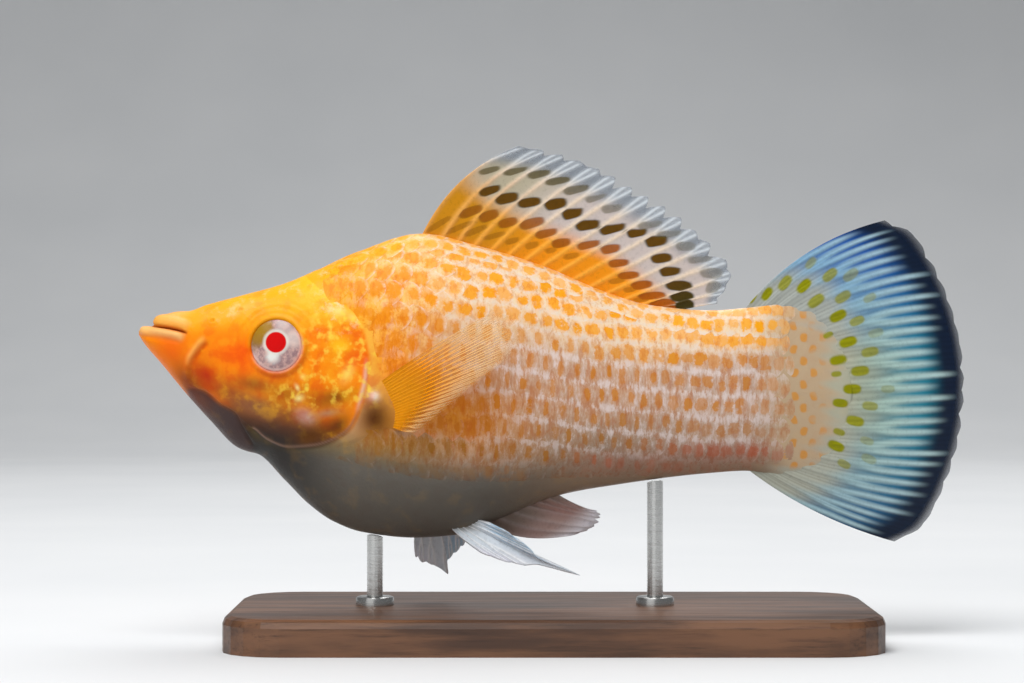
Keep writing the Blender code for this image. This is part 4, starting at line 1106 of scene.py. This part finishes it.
def dorsalColours(sheet):
    s, place, crest = sheet["s"], sheet["place"], sheet["crest"]
    keys = [0, 2, 5, 9, 15]
    starts = np.interp(place, keys, [0.42, 0.32, 0.26, 0.3, 0.16])
    ends = np.interp(place, keys, [0.8, 0.54, 0.48, 0.52, 0.38])
    milky, clear = ease(s, starts, ends), ease(s, 0.68, 0.88)
    inner, middle, outer = (spotsBetweenRays(sheet, rows, seed) for seed, rows in enumerate(dorsalSpots, 1))
    rays = layered(
        plain(s.shape, "#FBAF3C"),
        ("#F6E0C6", milky), ("#DDE3E8", clear), ("#E0A860", ease(place, 5, 1) * ease(s, 0.75, 0.5) * 0.6),
    )
    colour = layered(
        plain(s.shape, "#CC8A14"),
        ("#F29414", ease(place, 3.0, 7.0)), ("#F5962A", ease(s, 0.12, 0.0) * 0.7), ("#D6C8C2", milky),
        ("#B4AC84", milky * ease(place, 6, 2) * 0.7), ("#7C8794", clear), (rays, 0.9 * crest),
        ("#84500A", inner * 0.95), ("#BC5C04", ease(inner, 0.8, 1.0) * 0.7), ("#3E3606", middle),
        ("#7C4C08", ease(middle, 0.9, 1.0) * 0.5 * ease(place, 15, 11)), ("#5A4C12", outer),
    )
    opacity = 1 - 0.2 * ease(milky, 0.3, 1.0) - 0.35 * clear
    marked = np.maximum.reduce([inner, middle, outer]) * 0.95
    return colour, np.maximum.reduce([opacity, crest * 0.9, marked])


def tailColours(sheet):
    s, crest, place = sheet["s"], sheet["crest"], sheet["place"]
    x, z = sheet["points"][..., 0], sheet["points"][..., 2]
    height = 1 - place / fins["tail"]["columns"]
    high, low = ease(height, 0.5, 0.92), ease(height, 0.45, 0.05)
    ground, spots = tailGround(x, z), oliveSpots(x, z)
    deep = layered(plain(s.shape, "#1C7E94"), ("#1552A2", high), ("#1F5C86", low))
    rays = layered(
        plain(s.shape, "#AECABE"),
        ("#8AB6D2", high), ("#A4C6D0", low), (ground, ease(s, 0.5, 0.15)),
        ("#B8D2D6", ease(s, 0.4, 0.8) * 0.6),
    )
    colour = layered(
        ground * 0.9,
        (deep, ease(s, 0.3, 0.66)), ("#101E34", ease(s, 0.68, 0.88)),
        (rays, (0.5 + 0.4 * ease(s, 0.25, 0.55)) * crest), (tail["olive"], spots),
    )
    # Light and dark bands along the rays, four to each
    colour = colour * (1 + 0.1 * np.cos(2 * math.pi * 4 * place + np.sin(7 * place)))[..., None]
    opacity = 1 - 0.06 * ease(s, 0.3, 0.7) - 0.5 * ease(s, 0.93, 1.0)
    return colour, np.maximum.reduce([opacity, crest * 0.95, spots])


def analColours(sheet):
    s, (x, _, z) = sheet["s"], np.moveaxis(sheet["points"], -1, 0)
    colour = layered(
        plain(s.shape, "#8A786C"),
        ("#B0928A", ease(s, 0.2, 0.55)), ("#A46E64", blob(x, z, (41.8, -12.0), (2.6, 0.7), -15) * 0.5),
        ("#DCD8DE", ease(s, 0.6, 0.95)), ("#C8BCBA", sheet["crest"] * 0.25),
    )
    return colour, np.ones(s.shape)


def pelvicColours(sheet):
    s, crest, place = sheet["s"], sheet["crest"], sheet["place"]
    colour = layered(
        plain(s.shape, "#D6DEE6"),
        ("#A29E98", ease(s, 0.3, 0.1)), ("#9CC8E8", ease(s, 0.3, 0.6) * ease(place, 2.5, 4.5) * 0.7),
        ("#DCD6E6", ease(s, 0.5, 0.9) * ease(place, 3.0, 1.0) * 0.7), ("#F6F8FB", crest * 0.85),
    )
    return colour, np.maximum(1 - 0.25 * ease(s, 0.4, 0.95), crest)


def pectoralColours(sheet):
    s, crest, place = sheet["s"], sheet["crest"], sheet["place"]
    outward = ease(s, 0.3, 0.75)
    rays = layered(plain(s.shape, "#FFAE20"), ("#F8D4A4", outward))
    colour = layered(plain(s.shape, "#EE9604"), ("#E6B26A", outward), (rays, 0.6 * crest))
    lower = ease(place / fins["pectoral"]["columns"], 0.5, 0.9)
    opacity = 0.85 - 0.65 * ease(s, 0.05, 0.5) - 0.12 * lower
    onRays = crest * (0.8 - 0.25 * lower - 0.25 * ease(s, 0.4, 1.0)) * ease(s, 1.0, 0.8)
    return colour, np.maximum(opacity, onRays) * ease(s, 1.02, 0.85 - 0.3 * lower)


def finMembrane(name, roughness, grain):
    # A thin wet membrane over pale rays, clear where its opacity is low, with fine dark specks in the skin
    made, add, place = newMaterial(name)
    specks = add("TexNoise", {"Vector": place, "Scale": 2.6 / mm, "Detail": 5.0, "Roughness": 0.75})
    colour = add("Attribute", {}, "Color", attribute_name="tint")
    colour = overlay(add, colour, "#5A5A66", specks, (0.5, 0.36, grain), blend="MULTIPLY")
    opacity = add("Attribute", {}, "Fac", attribute_name="opacity")
    normal = add("Bump", {"Height": specks, "Distance": 0.04 * mm, "Strength": 0.3})
    finish(add, wet | {"Base Color": colour, "Alpha": opacity, "Roughness": roughness, "Normal": normal})
    return made


# The fins' membranes by their slots as (material, roughness, grain), and the pieces as (name, table, side,
# colours, slot, CAD node)

membranes = {
    "sail_membrane": ("sail_membrane", 0.42, 0.14), "tail_membrane": ("tail_membrane", 0.42, 0.12),
    "belly_membrane": ("milky_membrane", 0.4, 0.15),
    "pectoral_membrane": ("clear_gold_membrane", 0.38, 0.12),
}
finPieces = [
    ("dorsal_sail", "dorsal", 1, dorsalColours, "sail_membrane", "dorsal_fin"),
    ("tail_fan", "tail", 1, tailColours, "tail_membrane", "tail_fin"),
    ("gonopodium", "anal", 1, analColours, "belly_membrane", "anal_fin"),
    ("pelvic_left", "pelvicLeft", -1, pelvicColours, "belly_membrane", "pelvic_fin_left"),
    ("pelvic_right", "pelvicRight", 1, pelvicColours, "belly_membrane", "pelvic_fin_right"),
    ("pectoral_left", "pectoral", -1, pectoralColours, "pectoral_membrane", "pectoral_fin_left"),
    ("pectoral_right", "pectoral", 1, pectoralColours, "pectoral_membrane", "pectoral_fin_right"),
]


def makeFins():
    made = {slot: finMembrane(*look) for slot, look in membranes.items()}
    for name, kind, side, colourOf, slot, node in finPieces:
        makeFin(name, kind, side, colourOf, made[slot], slot, node)


# Stand

collar = {"radius": 1.9, "height": 0.9, "bore": 0.82, "edge": 0.25}
sharpEdge = math.radians(35)


def walnut():
    # Oiled walnut: long grain along the base, darker pores and a soft sheen
    made, add, place = newMaterial("oiled_walnut")
    long = add("Mapping", {"Vector": place, "Scale": (0.12, 1.0, 1.0)})
    figure = add("TexNoise", {"Vector": long, "Scale": 0.35 / mm, "Detail": 5.0, "Roughness": 0.6})
    fine = add("Mapping", {"Vector": place, "Scale": (0.05, 1.0, 1.0)})
    pores = add("TexNoise", {"Vector": fine, "Scale": 2.4 / mm, "Detail": 6.0, "Roughness": 0.7})
    colour = overlay(add, "#4A2F1E", "#7A5236", figure, (0.35, 0.65, 1.0))
    colour = overlay(add, colour, "#2E1B10", pores, (0.5, 0.7, 0.6))
    roughness = add("MapRange", [pores, 0.3, 0.7, 0.34, 0.52])
    normal = add("Bump", {"Height": pores, "Distance": 0.05 * mm, "Strength": 0.4})
    finish(add, {
        "Base Color": colour, "Roughness": roughness, "Normal": normal, "Coat Weight": 0.15,
        "Coat Roughness": 0.3,
    })
    return made


def brushedSteel():
    # Stainless rod, brushed round its length, so that its highlight is broken into fine rings
    made, add, place = newMaterial("brushed_steel")
    rings = add("Mapping", {"Vector": place, "Scale": (0.3, 0.3, 6.0)})
    lines = add("TexNoise", {"Vector": rings, "Scale": 1.5 / mm, "Detail": 4.0, "Roughness": 0.6})
    roughness = add("MapRange", [lines, 0.3, 0.7, 0.2, 0.32])
    normal = add("Bump", {"Height": lines, "Distance": 0.006 * mm, "Strength": 0.25})
    finish(add, {"Base Color": "#C9C9C7", "Metallic": 1.0, "Roughness": roughness, "Normal": normal})
    return made


def makeCollars(material):
    # A small turned collar round the foot of each rod, resting on the base
    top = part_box("stand_base")[1][2]
    radius, height, bore, edge = (collar[key] * mm for key in ("radius", "height", "bore", "edge"))
    outline = [
        (bore, 0.0), (radius, 0.0), (radius, height - edge), (radius - edge * 0.3, height - edge * 0.3),
        (radius - edge, height), (bore, height),
    ]
    turns = np.linspace(0, 2 * math.pi, 49)[:-1]
    index = np.arange(len(turns) * len(outline)).reshape(len(turns), len(outline))
    around, along = np.roll(index, -1, axis=0), np.roll(index, -1, axis=1)
    faces = np.stack([index, around, np.roll(around, -1, axis=1), along], -1).reshape(-1, 4)
    for word in ("front", "rear"):
        low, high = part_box("stand_rod_" + word)
        x, y = (low[0] + high[0]) / 2, (low[1] + high[1]) / 2
        verts = [(x + a * math.cos(t), y + a * math.sin(t), top + b) for t in turns for a, b in outline]
        obj = meshFrom("collar_" + word, verts, faces)
        obj.data.set_sharp_from_angle(angle=sharpEdge)
        dress(obj, material, "steel")


def finishStand():
    wood, steel = walnut(), brushedSteel()
    for name, material in (("stand_base", wood), ("stand_rod_front", steel), ("stand_rod_rear", steel)):
        mesh = bpy.data.objects[name].data
        mesh.materials.clear()
        mesh.materials.append(material)
        mesh.shade_smooth()
        mesh.set_sharp_from_angle(angle=sharpEdge)
    makeCollars(steel)
    print("stand finished")


# Floor, light and background. A lamp is (watts, size, place) in metres, and so is the floor's outline

studio = {
    "paper": "#DADCDE", "paperTone": "#E6E7E8", "world": 0.2, "sky": "#F2F4F6", "target": (35, 0, 0),
    "lamps": {
        "key": (1.9, 0.3, (-0.1, -0.2, 0.42)), "fill": (0.42, 0.5, (-0.28, -0.5, 0.16)),
        "back": (1.9, 0.4, (0.1, 0.3, 0.5)),
    },
    "halfWidth": 2.0, "front": -1.2, "bendStart": 0.45, "bend": 0.35, "top": 1.6,
}


def makeFloor():
    # A plain pale sweep of paper: a floor that curves up into a backdrop behind the model
    start, bend, half = studio["bendStart"], studio["bend"], studio["halfWidth"]
    turns = np.linspace(0, math.pi / 2, 13)
    curve = [(start + bend * math.sin(turn), bend - bend * math.cos(turn)) for turn in turns]
    outline = [(studio["front"], 0.0), *curve, (start + bend, studio["top"])]
    mesh = bpy.data.meshes.new("floor")
    corners = [(x, y, z) for x in (-half, half) for y, z in outline]
    mesh.from_pydata(corners, [], gridFaces(2, len(outline)).tolist())
    mesh.shade_smooth()
    made, add, place = newMaterial("matte_paper")
    tone = add("TexNoise", {"Vector": place, "Scale": 0.02 / mm, "Detail": 2.0})
    tone = add("Mix", [tone, studio["paper"], studio["paperTone"]], data_type="RGBA")
    finish(add, {"Base Color": tone, "Roughness": 0.9, "Specular IOR Level": 0.1})
    mesh.materials.append(made)
    addObject("floor", mesh)


def makeLights():
    for name, (power, size, place) in studio["lamps"].items():
        data = bpy.data.lights.new(name, "AREA")
        data.energy = power
        data.size = size
        obj = addObject(name, data)
        obj.location = place
        dx, dy, dz = np.array(place) - toModel(studio["target"])
        obj.rotation_euler = (math.atan2(math.hypot(dx, dy), dz), 0, math.atan2(dx, -dy))
    world = bpy.data.worlds.new("studio")
    world.use_nodes = True
    background = world.node_tree.nodes["Background"]
    background.inputs["Color"].default_value = (*linear(studio["sky"]).tolist(), 1.0)
    background.inputs["Strength"].default_value = studio["world"]
    bpy.context.scene.world = world
    bpy.context.scene.view_settings.view_transform = "Standard"
    print("studio made")


makeCamera()
makeFloor()
makeLights()
makeSkin()
for word, side in (("left", -1), ("right", 1)):
    makeScales(word, side)
for word, side in (("left", -1), ("right", 1)):
    makeEye(word, side)
makeFins()
finishStand()
